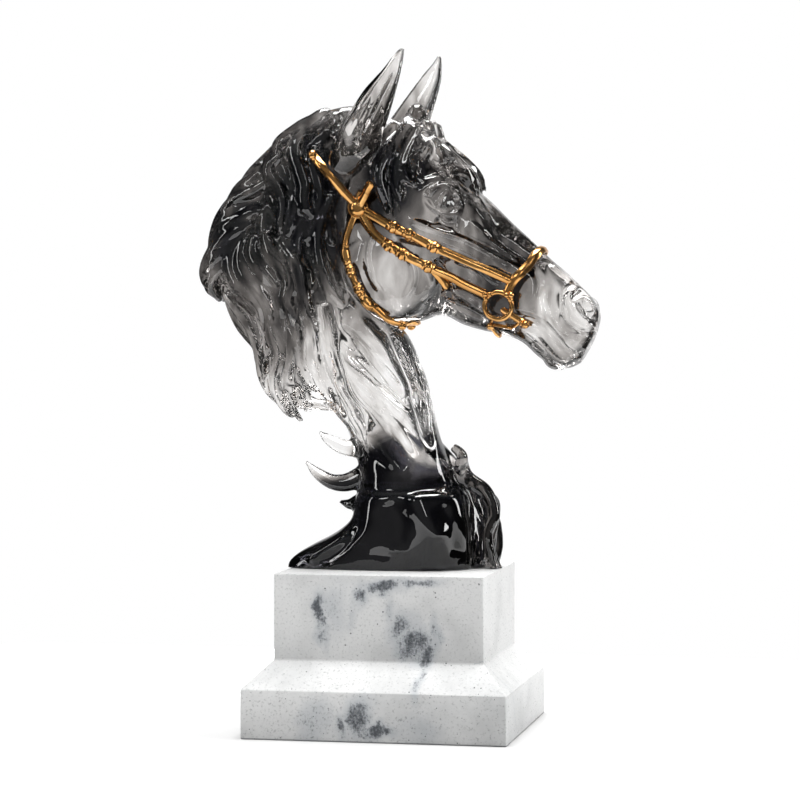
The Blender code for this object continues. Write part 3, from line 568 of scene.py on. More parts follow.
LONG_CURLS = [
    [
        (237, 236, -23, 2.6, 2.6), (231, 262, -23, 4, 3.2), (237, 281, -23, 4.2, 3.4),
        (250, 295, -23, 4, 3.4), (260, 306, -22, 3.6, 3.2), (264, 322, -21, 2.8, 2.6),
        (265, 342, -19, 0.8, 0.8),
    ],
    [
        (246, 234, -25, 2.6, 2.6), (241, 256, -25, 4, 3.2), (244, 273, -26, 4.2, 3.4),
        (257, 288, -26, 4.2, 3.4), (267, 302, -25, 3.8, 3.2), (272, 320, -23, 3.2, 2.8),
        (271, 340, -21, 2.8, 2.4), (266, 360, -19, 0.8, 0.8),
    ],
    [
        (256, 236, -27, 2.6, 2.6), (254, 254, -27, 4, 3.2), (264, 271, -28, 4.2, 3.4),
        (276, 287, -28, 4.2, 3.4), (281, 303, -26, 3.8, 3.2), (278, 320, -24, 3.4, 2.8),
        (283, 338, -22, 3, 2.4), (287, 356, -20, 0.8, 0.8),
    ],
    [
        (266, 234, -28, 2.6, 2.6), (272, 252, -28, 4, 3.2), (285, 267, -29, 4.2, 3.4),
        (291, 283, -29, 4, 3.2), (289, 299, -27, 3.6, 3), (294, 316, -25, 3.4, 2.8),
        (298, 336, -23, 0.8, 0.8),
    ],
    [
        (280, 238, -28, 2.6, 2.6), (290, 254, -29, 3.6, 3), (300, 270, -29, 3.8, 3.2),
        (303, 290, -28, 3.6, 3), (307, 310, -26, 3.4, 2.8), (314, 330, -24, 3, 2.4),
        (318, 350, -22, 0.8, 0.8),
    ],
    [
        (221, 292, -15, 2.4, 2.4), (236, 306, -17, 3.8, 3.4), (249, 322, -18, 4, 3.6),
        (257, 340, -17, 3.6, 3.2), (260, 358, -16, 3, 2.8), (260, 376, -15, 3, 2.6),
        (267, 392, -15, 2.4, 2.2), (276, 404, -15, 0.8, 0.8),
    ],
    [
        (270, 318, -21, 2.4, 2.4), (276, 336, -21, 3.6, 3.2), (281, 356, -20, 3.8, 3.2),
        (276, 378, -18, 3.4, 3), (280, 394, -17, 3, 2.6), (290, 408, -16, 2.4, 2.2),
        (296, 417, -16, 1, 1),
    ],
    [
        (288, 318, -23, 2.4, 2.4), (292, 338, -23, 3.4, 3), (290, 358, -21, 3.4, 3),
        (286, 380, -19, 3, 2.6), (292, 396, -18, 3, 2.6), (306, 403, -17, 3, 2.6),
        (320, 406, -16, 2.2, 2.2), (331, 411, -15, 1, 1),
    ],
    [
        (298, 312, -24, 2.4, 2.4), (299, 338, -23, 3.2, 2.8), (303, 362, -21, 3.2, 2.8),
        (311, 382, -19, 2.8, 2.4), (321, 396, -17, 0.6, 0.6),
    ],
    [
        (308, 306, -25, 2.6, 2.6), (315, 334, -24, 4.2, 3.2), (316, 360, -23, 4.4, 3.2),
        (324, 386, -21, 4, 3), (337, 406, -20, 3, 2.4), (348, 424, -19, 1.8, 1.8),
        (358, 444, -19, 0.8, 0.8),
    ],
    [
        (324, 306, -25, 2.4, 2.4), (329, 330, -25, 3.6, 3), (332, 356, -24, 3.6, 3),
        (341, 384, -23, 3.4, 2.8), (352, 408, -21, 2.8, 2.4), (360, 432, -20, 2, 2),
        (368, 456, -20, 0.8, 0.8),
    ],
]
# The forelock: two black strands in front of the ear, and clear ones that twist over the forehead.
FRONT_CURLS = [
    [
        (414, 122, -10, 3, 3), (401, 139, -17, 4, 3.4), (388, 156, -24, 4, 3.4),
        (380, 171, -28, 3.8, 3.2), (379, 185, -31, 3.6, 3), (384, 198, -32, 3, 2.6),
        (391, 211, -32, 0.8, 0.8),
    ],
    [
        (418, 126, -12, 3, 3), (408, 142, -18, 4, 3.4), (400, 159, -23, 4, 3.4), (396, 175, -27, 3.8, 3),
        (397, 190, -29, 3.2, 2.8), (402, 204, -30, 0.8, 0.8),
    ],
    [
        (422, 124, -8, 2.6, 2.6), (413, 136, -14, 3, 2.6), (420, 148, -17, 3, 2.6),
        (411, 157, -21, 3, 2.6), (416, 168, -23, 2.8, 2.4), (413, 176, -25, 2.4, 2.2),
        (425, 185, -26, 0.7, 0.7),
    ],
    [(427, 124, -6, 3, 3), (429, 138, -12, 3.8, 3), (427, 152, -17, 3.6, 2.8), (422, 164, -21, 1, 1)],
    [
        (430, 126, -4, 2.6, 2.6), (436, 142, -9, 3.2, 2.8), (443, 156, -13, 3.2, 2.8),
        (455, 165, -15, 3, 2.6), (467, 174, -14, 2.6, 2.4), (476, 186, -12, 0.8, 0.8),
    ],
    [
        (425, 122, -1, 2.6, 2.6), (435, 140, -3, 3.2, 2.8), (448, 154, -5, 3.4, 2.8),
        (460, 167, -6, 3.2, 2.8), (471, 180, -6, 2.8, 2.4), (479, 193, -5, 0.8, 0.8),
    ],
    [
        (436, 138, -12, 2, 2), (446, 150, -16, 2.6, 2.2), (450, 164, -19, 2.4, 2.2),
        (440, 170, -22, 0.7, 0.7),
    ],
]
BREAST_CURLS = [
    [
        (452, 446, -4, 3, 3), (462, 456, -8, 4, 3.6), (462, 474, -12, 4, 3.6), (470, 492, -15, 3.8, 3.4),
        (484, 512, -14, 3.6, 3.2), (478, 536, -17, 3.4, 3), (484, 574, -18, 2.6, 2.6),
    ],
    [
        (462, 452, 0, 3, 3), (472, 470, -3, 4, 3.6), (486, 490, -6, 4, 3.6), (494, 512, -8, 4, 3.6),
        (490, 536, -10, 3.8, 3.4), (496, 574, -10, 3, 3),
    ],
    [
        (470, 480, -10, 2.4, 2.4), (476, 498, -14, 3, 2.8), (470, 518, -17, 3, 2.8),
        (476, 540, -18, 2.8, 2.6), (472, 574, -19, 2.4, 2.4),
    ],
    [
        (480, 482, 4, 3, 3), (494, 502, 4, 4, 3.6), (500, 524, 2, 4, 3.6), (494, 546, -2, 4, 3.4),
        (500, 574, -4, 3, 3),
    ],
]
EAR_KNOB = [(409, 118, -4, 3, 3), (416, 115, -5, 6, 5.5), (424, 117, -5, 4.5, 4.5), (428, 121, -5, 1, 1)]

# A curl has fine strands, is swollen by its group, and rises over the skin by a share of its thickness.
CURL_STRANDS = 3
CURL_GROOVE = 0.13
CURL_RISE = 0.6
BACK_SWELL = 1.2
LONG_SWELL = 1.35
LOCK_TWIST = 1.2
CURL_TWIST = 0.7

# The skin under it is looked for from this v, and it is drawn in from the outline in rounds, each of
# which looks a number of ways.
RAY_START = -150
INSET_WAYS = 8
INSET_ROUNDS = 5

# The locks under the curls keep these shares of their distance from the middle, between two levels.
TUCK_LOW = 95
TUCK_HIGH = 190
TUCKED_LOW = 0.25
TUCKED_HIGH = 0.75

# Relief carved on the bust's skin: (radius, height in mm, points on the photograph) each. A negative
# height is a furrow. What lies on the near side is carved on the far side as well, less deep.
RIDGES = [
    # Brow, lids and the bone round the eye.
    (2.6, 1.7, [(452, 178), (463, 176), (470, 186), (476, 202), (484, 215), (494, 228)]),
    (1.4, 1.3, [(426, 200), (433, 193), (442, 189), (451, 191), (457, 199), (459, 209)]),
    (1.8, -1.3, [(420, 195), (430, 187), (442, 183), (453, 185), (461, 195), (464, 208)]),
    (1.3, 1.1, [(424, 202), (431, 210), (441, 216), (450, 218), (459, 214)]),
    (3.0, -2.0, [(436, 220), (446, 226), (458, 226)]),
    (4.6, 1.5, [(439, 202), (443, 204)]),
    (1.2, -0.7, [(452, 200), (455, 207), (452, 213)]),
    (2.6, 1.3, [(404, 221), (434, 231), (464, 241), (495, 258), (520, 274)]),
    (2.4, -1.1, [(425, 225), (450, 233), (480, 246), (508, 262)]),
    (2.2, -1.2, [(398, 238), (428, 246), (458, 256), (486, 270)]),
    (2.6, -1.2, [(420, 178), (436, 174), (448, 168), (455, 160)]),
    # Hollows and veins down the face.
    (3.2, -1.5, [(484, 232), (502, 246), (520, 258), (534, 268)]),
    (1.4, 0.8, [(468, 224), (486, 238), (502, 252), (516, 262)]),
    (1.3, 0.8, [(455, 262), (474, 268), (488, 280), (500, 286)]),
    (1.4, 0.9, [(448, 292), (466, 300), (482, 312), (505, 318), (524, 316)]),
    (2.2, -1.0, [(440, 300), (462, 308), (486, 320)]),
    (1.6, -0.9, [(430, 262), (448, 280), (452, 300)]),
    # Nostril, lips, chin and the folds of the muzzle.
    (4.0, -3.2, [(576, 299), (581, 307), (588, 317)]),
    (
        1.5, 1.6,
        [(568, 305), (566, 296), (573, 289), (582, 293), (590, 305), (595, 315), (593, 326), (585, 324)],
    ),
    (1.5, 1.3, [(568, 305), (576, 315), (585, 324)]),
    (1.8, -2.2, [(561, 288), (557, 298), (558, 310), (563, 322), (575, 331), (586, 333)]),
    (3.0, 1.4, [(548, 286), (543, 300), (547, 316), (558, 332), (572, 342)]),
    (1.5, -2.2, [(513, 314), (527, 317), (541, 324), (553, 338), (562, 349), (573, 355), (584, 353)]),
    (2.4, 1.4, [(519, 326), (534, 336), (546, 350), (558, 360), (570, 364)]),
    (1.8, -1.4, [(530, 342), (540, 350), (550, 362)]),
    (2.2, -1.1, [(530, 268), (536, 282), (534, 298)]),
    (2.2, 1.1, [(548, 266), (560, 278), (572, 286)]),
    # The cheek's rim and the jaw.
    (3.0, -1.4, [(436, 262), (440, 282), (434, 302), (420, 314)]),
    (2.4, 1.0, [(352, 262), (357, 283), (369, 303), (386, 315), (404, 319)]),
    (2.2, -0.9, [(372, 236), (366, 256), (372, 280), (386, 298)]),
    (1.8, 0.8, [(398, 250), (410, 262), (414, 282), (404, 300)]),
    # The neck's long flowing folds.
    (4.0, 1.0, [(396, 331), (409, 360), (422, 391), (432, 426), (438, 460)]),
    (3.0, -2.1, [(388, 334), (399, 362), (411, 393), (420, 428), (428, 450)]),
    (5.5, 2.3, [(350, 316), (370, 334), (387, 356), (399, 380), (408, 396)]),
    (3.4, -2.8, [(338, 326), (356, 346), (375, 368), (393, 388), (408, 402)]),
    (5.5, 1.9, [(336, 346), (352, 366), (372, 388), (394, 408), (414, 430)]),
    (3.4, -2.3, [(338, 376), (354, 396), (374, 416), (396, 438), (414, 460)]),
    (4.5, 2.0, [(350, 410), (366, 430), (384, 450), (402, 472)]),
    (3.0, -1.6, [(344, 418), (356, 438), (366, 462)]),
    (1.7, -1.7, [(348, 332), (367, 350), (385, 370), (403, 390)]),
    (1.7, -1.7, [(350, 354), (372, 375), (394, 396), (410, 408)]),
    (1.7, -1.5, [(356, 378), (378, 399), (400, 420), (420, 442)]),
    (2.2, -1.6, [(374, 402), (384, 410)]),
    # The foot block's soft waves.
    (7.0, -1.6, [(384, 500), (398, 520), (394, 545)]),
    (6.0, 1.4, [(412, 492), (424, 516), (440, 540)]),
    (5.0, -1.2, [(440, 500), (452, 525), (456, 555)]),
    (4.0, 1.0, [(350, 530), (330, 545), (306, 560)]),
    (3.0, -1.0, [(362, 520), (344, 545), (320, 562)]),
    # The cups of the ears.
    (3.2, -2.4, [(357, 150), (368, 122), (382, 94), (396, 68)]),
    (1.4, 0.9, [(340, 158), (347, 132), (366, 98), (388, 66)]),
    (3.0, -1.8, [(424, 118), (430, 100), (434, 80), (436, 66)]),
]

RELIEF_STEPS = 4
NEAR_RELIEF = 1.6
FAR_RELIEF = 0.5
RELIEF_ENDS = 5.0
RELIEF_AT_END = 0.15
RELIEF_FROM = 0.1
RELIEF_FADE = 0.45

# The smoke tint: (x, y, reach across, reach down, amount) on the photograph; below 0 is clearer.
SMOKE_BASE = 0.52
SMOKE = [
    (312, 200, 28, 72, 0.75),
    (306, 122, 26, 12, -0.22),
    (350, 108, 22, 26, -0.22),
    (250, 215, 44, 60, 0.30),
    (384, 185, 18, 38, 0.60),
    (352, 140, 20, 26, -0.14),
    (410, 170, 30, 26, 0.20),
    (470, 190, 26, 30, 0.12),
    (500, 255, 44, 26, 0.14),
    (470, 292, 36, 16, 0.16),
    (268, 290, 34, 44, 0.05),
    (284, 330, 11, 56, 0.26),
    (304, 292, 10, 34, 0.20),
    (246, 322, 7, 30, 0.08),
    (254, 298, 10, 20, -0.16),
    (270, 368, 7, 30, 0.10),
    (262, 398, 12, 16, -0.15),
    (390, 272, 30, 30, -0.14),
    (404, 62, 20, 36, -0.40),
    (434, 85, 18, 46, -0.42),
    (434, 142, 14, 22, -0.34),
    (582, 322, 34, 46, -0.28),
    (545, 305, 18, 28, -0.16),
    (404, 385, 58, 60, -0.42),
    (320, 344, 34, 40, -0.30),
    (290, 404, 62, 44, -0.36),
    (330, 462, 40, 34, -0.62),
    (374, 460, 22, 17, 1.0),
    (428, 438, 20, 30, -0.60),
    (352, 352, 28, 34, 0.12),
    (300, 352, 12, 24, 0.14),
    (226, 256, 16, 18, 0.22),
    (420, 308, 14, 10, -0.14),
    (330, 116, 24, 12, -0.14),
    (400, 342, 20, 26, -0.36),
    (366, 100, 20, 26, -0.12),
    (526, 336, 24, 14, -0.30),
    (468, 238, 14, 12, -0.16),
    (225, 245, 18, 30, 0.14),
]
FOOT_SMOKE = 1.1
FOOT_SMOKE_TOP = 480.0
FOOT_SMOKE_FADE = 4.0
BREAST_CLEARING = 0.92
BREAST_FROM = 460.0
BREAST_FADE = 6.0
SMOKE_SWIRL = 0.27
SWIRL_LENGTH = 11.0
SWIRL_STRETCH = 3.0
SWIRL_WANDER = 1.5


def add_foot(shape):
    """The foot block, whose back narrows and leans to the near side as it sweeps out into the wing."""
    rings = []
    for back, front, near, far, w, square in refine(FOOT, FOOT_STEPS):
        ring = []
        for k in range(RING_POINTS):
            angle = 2 * math.pi * k / RING_POINTS
            u = (back + front) / 2 + (front - back) / 2 * power(math.cos(angle), 2 / square)
            swept = max(0.0, u / WING_TIP) ** 2
            half_depth = (far - near) / 2 * (1 - WING_NARROWING * swept)
            v = (near + far) / 2 - WING_SET_NEAR * swept - half_depth * power(math.sin(angle), 2 / square)
            ring.append(at(u, v, w))
        rings.append(ring)
    loft(shape, rings)


def add_locks(shape, chance):
    """The base of the hair, on both sides, and the tufts and breast folds, which are on one."""
    for group, facing, spread, strands, groove in (
        (CREST_LOCKS, BACK, 1.0, 3, 0.16),
        (SIDE_LOCKS, NEAR, FAR_SPREAD, 2, 0.16),
        (LONG_LOCKS, NEAR, FAR_SPREAD, 3, 0.2),
        (FORELOCKS, NEAR, FAR_SPREAD, 2, 0.16),
    ):
        mirrored = (facing[0], -facing[1], facing[2])
        for rows in group:
            if group in (SIDE_LOCKS, LONG_LOCKS):
                rows = tucked_in(rows)
            twist = chance.uniform(-LOCK_TWIST, LOCK_TWIST)
            lock(shape, rows, facing, strands, groove, twist)
            twist = chance.uniform(-LOCK_TWIST, LOCK_TWIST)
            lock(shape, other_side(rows, spread), mirrored, strands, groove, twist)
    for rows in TUFTS:
        lock(shape, rows, NEAR, 3, 0.18, 0.5)
    for rows in BREAST_LOCKS:
        lock(shape, rows, BREAST, 2, 0.16, 0.8)


def add_curls(shape, chance):
    """Curls over the hair that is there: the skin that they lie on is taken before the first one."""
    skin = BVHTree.FromBMesh(shape)
    for curls, swollen, on_both_sides in (
        (BACK_CURLS, BACK_SWELL, True),
        (LONG_CURLS, LONG_SWELL, True),
        (FRONT_CURLS, 1.0, True),
        (BREAST_CURLS, 1.0, False),
    ):
        for curl in curls:
            rows = [(*place, width * swollen, depth * swollen) for *place, width, depth in from_photo(curl)]
            rows = laid_on(skin, rows)
            twist = chance.uniform(-CURL_TWIST, CURL_TWIST)
            lock(shape, rows, NEAR, CURL_STRANDS, CURL_GROOVE, twist)
            if on_both_sides:
                twist = chance.uniform(-CURL_TWIST, CURL_TWIST)
                lock(shape, other_side(rows, FAR_SPREAD), FAR, CURL_STRANDS, CURL_GROOVE, twist)


def add_head_forms(shape):
    lock(shape, NEAR_EAR, NEAR_EAR_FACING)
    lock(shape, FAR_EAR, FAR_EAR_FACING)
    lock(shape, from_photo(EAR_KNOB), NEAR)
    for (u, v, w), radii in (CHEEK, BROW, EYEBALL, NOSTRIL_WING, CHIN):
        for side in ((v, -v) if v else (v,)):
            ball(shape, at(u, side, w), Vector(radii) * MM)


def read_points(mesh):
    """The places of a mesh's points in drawn millimetres, and the way each one faces."""
    count = len(mesh.vertices)
    places = np.empty(count * 3)
    mesh.vertices.foreach_get("co", places)
    facings = np.empty(count * 3)
    mesh.vertex_normals.foreach_get("vector", facings)
    drawn = (places.reshape(-1, 3) - (0, 0, FOOT_LEVEL)) / MM
    return drawn, facings.reshape(-1, 3)


def write_points(mesh, drawn):
    mesh.vertices.foreach_set("co", (drawn * MM + (0, 0, FOOT_LEVEL)).ravel())
    mesh.update()


def on_photo(drawn):
    """Where points show on the photograph, in its pixels, as if all of them lay on the near side."""
    across = (drawn[:, 0] + PHOTO_LEFT - PHOTO_SLANT * np.abs(drawn[:, 1])) / PHOTO_MM
    down = (PHOTO_TOP - drawn[:, 2]) / PHOTO_RISE
    return np.stack([across, down], axis=1)


def stroke(seen, line, radius):
    """How strongly a stroke along the line acts on each point: it fades beside the line and at its ends."""
    fine = np.array(refine(line, RELIEF_STEPS))
    gap = np.full(len(seen), np.inf)
    share = np.zeros(len(seen))
    for k, (start, end) in enumerate(zip(fine, fine[1:])):
        way = end - start
        along = np.clip((seen - start) @ way / (way @ way), 0, 1)
        away = np.linalg.norm(seen - start - along[:, None] * way, axis=1)
        nearer = away < gap
        gap[nearer] = away[nearer]
        share[nearer] = (k + along[nearer]) / (len(fine) - 1)
    ends = np.clip(RELIEF_ENDS * np.minimum(share, 1 - share) + RELIEF_AT_END, 0, 1)
    return ends * np.exp(-((gap * PHOTO_MM / radius) ** 2))


def carve(mesh):
    """Moves the skin's points out and in: the strokes of the relief, and a soft ripple all over."""
    drawn, facings = read_points(mesh)
    seen = on_photo(drawn)
    sideways = np.clip((facings[:, 1] * np.sign(drawn[:, 1]) - RELIEF_FROM) / RELIEF_FADE, 0, 1)
    relief = np.zeros(len(drawn))
    for radius, height, line in RIDGES:
        relief += height * stroke(seen, line, radius)
    ripple = np.array([noise.noise(Vector(point) / RIPPLE_LENGTH) for point in drawn])
    relief *= np.where(drawn[:, 1] > 0, FAR_RELIEF, NEAR_RELIEF)
    lift = relief * sideways + RIPPLE_HEIGHT * ripple
    write_points(mesh, drawn + facings * lift[:, None])


def tint(mesh):
    """Writes how much smoke is in the resin at each point, from 0, clear, to 1, black.

    The vector noise starts from the clock unless it is seeded, so the seed keeps the swirls the same.
    """
    noise.seed_set(SEED)
    drawn, _ = read_points(mesh)
    seen = on_photo(drawn)
    smoke = np.full(len(drawn), SMOKE_BASE)
    for x, y, reach_across, reach_down, amount in SMOKE:
        away = ((seen[:, 0] - x) / reach_across) ** 2 + ((seen[:, 1] - y) / reach_down) ** 2
        smoke += amount * np.exp(-away)
    foot = FOOT_SMOKE / (1 + np.exp((FOOT_SMOKE_TOP - seen[:, 1]) / FOOT_SMOKE_FADE))
    smoke += foot * (1 - BREAST_CLEARING / (1 + np.exp((BREAST_FROM - seen[:, 0]) / BREAST_FADE)))
    for k, (u, v, w) in enumerate(drawn):
        place = Vector((u, v, w / SWIRL_STRETCH)) / SWIRL_LENGTH
        smoke[k] += SMOKE_SWIRL * noise.noise(place + SWIRL_WANDER * noise.noise_vector(place))
    layer = mesh.attributes.new("smoke", "FLOAT", "POINT")
    layer.data.foreach_set("value", np.clip(smoke, 0, 1))


def evaluated(made):
    """A copy of an object's mesh with its modifiers applied."""
    shown = made.evaluated_get(bpy.context.evaluated_depsgraph_get())
    return bpy.data.meshes.new_from_object(shown)


def settle(made):
    """Turns an object's modifiers into its mesh."""
    mesh = evaluated(made)
    made.modifiers.clear()
    made.data = mesh
    return mesh


def drop_bubbles(mesh):
    """Removes the closed hollows between the forms: every island of the skin but the largest."""
    shape = bmesh.new()
    shape.from_mesh(mesh)
    unseen = set(shape.verts)
    islands = []
    while unseen:
        waiting = [unseen.pop()]
        island = []
        while waiting:
            vertex = waiting.pop()
            island.append(vertex)
            for link in vertex.link_edges:
                other = link.other_vert(vertex)
                if other in unseen:
                    unseen.remove(other)
                    waiting.append(other)
        islands.append(island)
    islands.sort(key=len)
    for island in islands[:-1]:
        bmesh.ops.delete(shape, geom=island, context="VERTS")
    shape.to_mesh(mesh)
    shape.free()


def cut_flat(mesh):
    """Cuts away what reaches below the foot, and closes the cut with a flat face."""
    shape = bmesh.new()
    shape.from_mesh(mesh)
    everything = shape.verts[:] + shape.edges[:] + shape.faces[:]
    rim = bmesh.ops.bisect_plane(
        shape, geom=everything, plane_co=(0, 0, FOOT_LEVEL), plane_no=(0, 0, 1), clear_inner=True
    )["geom_cut"]
    bmesh.ops.holes_fill(shape, edges=[part for part in rim if isinstance(part, bmesh.types.BMEdge)])
    bmesh.ops.triangulate(shape, faces=[face for face in shape.faces if len(face.verts) > 4])
    shape.to_mesh(mesh)
    shape.free()


def make_bust():
    """One casting: every form overlaps its neighbours, and a remesh fuses them into one skin."""
    shape = bmesh.new()
    trunk(shape, HEAD)
    trunk(shape, NECK)
    trunk(shape, MANE)
    add_foot(shape)
    chance = random.Random(SEED)
    add_locks(shape, chance)
    add_curls(shape, chance)
    add_head_forms(shape)
    bust = add_object("resin_bust", shape)
    fuse = bust.modifiers.new("fuse", "REMESH")
    fuse.mode = "VOXEL"
    fuse.voxel_size = BUST_VOXEL
    soften = bust.modifiers.new("soften", "SMOOTH")
    soften.factor = BUST_SOFTNESS
    soften.iterations = BUST_SMOOTHING
    mesh = settle(bust)
    drop_bubbles(mesh)
    carve(mesh)
    cut_flat(mesh)
    thin = bust.modifiers.new("thin", "DECIMATE")
    thin.ratio = min(1.0, BUST_TRIANGLES / (2 * len(mesh.polygons)))
    mesh = settle(bust)
    mesh.shade_smooth()
    tint(mesh)
    return bust


# The bridle's routes over the bust: (u, w, turn, collar) each. A ray comes in to (u, w) on the horse's
# middle plane from the near side, turned up by so many degrees: 0 is the near side, 180 the far one.
# A collar is the share of COLLAR_SWELL that the strap swells by there, and 2 makes a long sleeve.
BOSS = (-20.2, 227.5)
CROWN_STRAP = [(*BOSS, 0, 0), (-30, 239, 0, 0), (-40, 251, 0, 0), (-48, 260.5, 0, 0)]
BROWBAND = [(*BOSS, 0, 0), (-15, 234.5, 0, 0), (-9, 242.5, 0, 0)]
UPPER_CHEEK_STRAP = [
    (*BOSS, 0, 0), (-8, 221, 0, 0), (3, 214.7, 0, 1), (13, 210, 0, 1), (29, 202.5, 0, 1), (53, 192, 0, 0),
    (76, 181, 0, 0),
]
LOWER_CHEEK_STRAP = [
    (*BOSS, 0, 0), (-11, 212.6, 0, 0), (0, 203.5, 0, 1), (9, 198, 0, 1), (25, 190, 0, 1),
    (37.5, 184.3, 0, 0), (48.5, 178.3, 0, 0), (61, 172.5, 0, 0),
]
CHEEK_TAB = [(27, 189.5, 0, 0), (32, 183.5, 0, 0), (36.5, 176.7, 0, 0)]
THROATLATCH = [
    (*BOSS, 0, 0), (-25, 219, 0, 0), (-29, 207, 0, 0), (-29, 198, 0, 2), (-25.5, 188, 0, 1),
    (-20, 176, 0, 1), (-14.5, 167.5, 0, 2), (-8, 163, 0, 0), (-1, 160, -10, 0), (6, 162, -30, 0),
    (11, 166, -60, 0), (12.5, 168, -90, 0),
]
NOSEBAND = [(73, 173, 0, 0), (77, 181, 0, 0), (80, 181, 25, 0), (81, 180, 55, 0), (82, 179, 90, 0)]
NOSEBAND_UP = (0.47, 0.0, 0.88)
CURB_STRAP = [(64, 159, -5, 0), (62, 163, -38, 0), (64, 166, -64, 0), (66, 167, -90, 0)]
CURB_BAR = [(62, 163, -38, 0), (68, 162.5, -38, 0), (75, 161, -36, 0), (81, 157, -5, 0)]
BIT_BAR = [(69.5, 163.7, 0, 0), (77, 159, 0, 0), (85, 154, 0, 1)]
BIT_RING = (67.8, 166.4)
CLASP_ANGLES = (39, 137)
UPRIGHT = (0.0, 0.0, 1.0)
AIM_REACH = 55 * MM
THROAT_REACH = 20.5 * MM
LOOK_REACH = 12 * MM
TURN_RADIUS = 25.0
BRIDGED_LENGTH = 32.0
BRIDGED_TURN = 20.0
BRIDGED_STEP = 5
ROUTE_STEPS = 8
THROAT_BALL_ROW = -3
LOOK_SIDES = (-0.75, -0.4, 0, 0.4, 0.75)

# A strap's section, as shares of its width and thickness: a flat back and two facets that meet in a ridge.
STRAP_SECTION = (
    (-0.46, -0.5), (0.46, -0.5), (0.5, -0.42), (0.5, -0.08), (0.44, 0.1), (0.1, 0.42), (0.0, 0.46),
    (-0.1, 0.42), (-0.44, 0.1), (-0.5, -0.08), (-0.5, -0.42),
)

# The boss from its rim to its crown: shares of its radius and of its height.
BOSS_PROFILE = (
    (0.96, 0.0), (1.0, 0.06), (1.0, 0.16), (0.95, 0.22), (0.86, 0.22), (0.84, 0.3), (0.78, 0.52),
    (0.62, 0.78), (0.4, 0.94), (0.18, 0.99), (0.02, 1.0),
)
BOSS_SEGMENTS = 48
BEAD_SEGMENTS = 28
BEAD_RINGS = 18
RING_SEGMENTS = 64
WIRE_SEGMENTS = 16
LOOK_POINTS = 16


def across_to_far(rows):
    """A route that crosses over or under the middle plane, continued down the far side."""
    turn_there = math.copysign(180, rows[-1][2])
    return rows + [(u, w, turn_there - turn, collar) for u, w, turn, collar in reversed(rows[:-1])]


def on_far_side(rows):
    return [(u, w, 180 - turn, collar) for u, w, turn, collar in rows]


def aim(row, up):
    """Where a row of a route points on the middle plane, and the way out of the bust from there."""
    u, w, turn = row[:3]
    angle = math.radians(turn)
    return at(u, 0, w), Vector((0, -math.cos(angle), 0)) + Vector(up) * math.sin(angle)


def hit(surface, row, up=UPRIGHT, reach_below=AIM_REACH):
    """The point of the bust where a row's ray comes in, the way out there, and the bust's own facing."""
    target, out = aim(row, up)
    share = math.sin(math.radians(row[2])) ** 2
    reach = AIM_REACH + (reach_below - AIM_REACH) * share
    point, normal, _, _ = surface.ray_cast(target + out * reach, -out)
    return point, out, normal


def rise_above(surface, point, out, offsets):
    """How far the bust stands out past a point, as seen along out, at these offsets beside it."""
    highest = 0.0
    for offset in offsets:
        _, _, _, distance = surface.ray_cast(point + offset + out * LOOK_REACH, -out, 2 * LOOK_REACH)
        if distance is not None:
            highest = max(highest, LOOK_REACH - distance)
    return highest


def stations(route):
    """The evenly spaced rows that a strap is built through, each with its swell, and their places."""
    fine = refine([row[:3] for row in route], ROUTE_STEPS)
    travelled = [0.0]
    for before, after in zip(fine, fine[1:]):
        turned = math.radians(after[2] - before[2]) * TURN_RADIUS
        travelled.append(travelled[-1] + math.hypot(after[0] - before[0], after[1] - before[1], turned))
    collars = [(travelled[k * ROUTE_STEPS], row[3]) for k, row in enumerate(route) if row[3]]
    count = max(2, round(travelled[-1] * MM / STATION_SPACING))
    places = [travelled[-1] * k / count for k in range(count + 1)]
    columns = [np.interp(places, travelled, column) for column in zip(*fine)]
    return [(*row, swell(place, collars)) for row, place in zip(zip(*columns), places)], places


def swell(place, collars):
    """How thick a strap is at a place along it: each collar is a barrel with a thin ring at both ends."""
    thick = 1.0
    for collar, kind in collars:
        away = abs(place - collar)
        half_length = COLLAR_HALF_LENGTH * kind**SLEEVE_POWER
        barrel = COLLAR_SWELL * math.exp(-((away / half_length) ** 6))
        past = away - half_length - COLLAR_RING_GAP
        ring = COLLAR_RING_SWELL * math.exp(-((past / COLLAR_RING_HALF) ** 2))
        thick += barrel + ring
    return thick


def bridged(places, turns, heights):
    """Heights raised so that a strap passes straight over any short hollow on one side of the bust."""
    raised_heights = list(heights)
    for first, last in itertools.combinations(range(0, len(places), BRIDGED_STEP), 2):
        length = places[last] - places[first]
        if length <= BRIDGED_LENGTH and abs(turns[last] - turns[first]) <= BRIDGED_TURN:
            for k in range(first + 1, last):
                share = (places[k] - places[first]) / length
                level = heights[first] + (heights[last] - heights[first]) * share
                raised_heights[k] = max(raised_heights[k], level)
    return raised_heights


def settled(values, reach):
    """Values eased along a strap without sinking below any of them: the highest nearby, then averaged."""
    count = len(values)
    highest = [max(values[max(k - reach, 0) : k + reach + 1]) for k in range(count)]
    return [float(np.mean(highest[max(k - reach, 0) : k + reach + 1])) for k in range(count)]


def neighbours(values, k, reach=1):
    return values[max(k - reach, 0) : k + reach + 1]


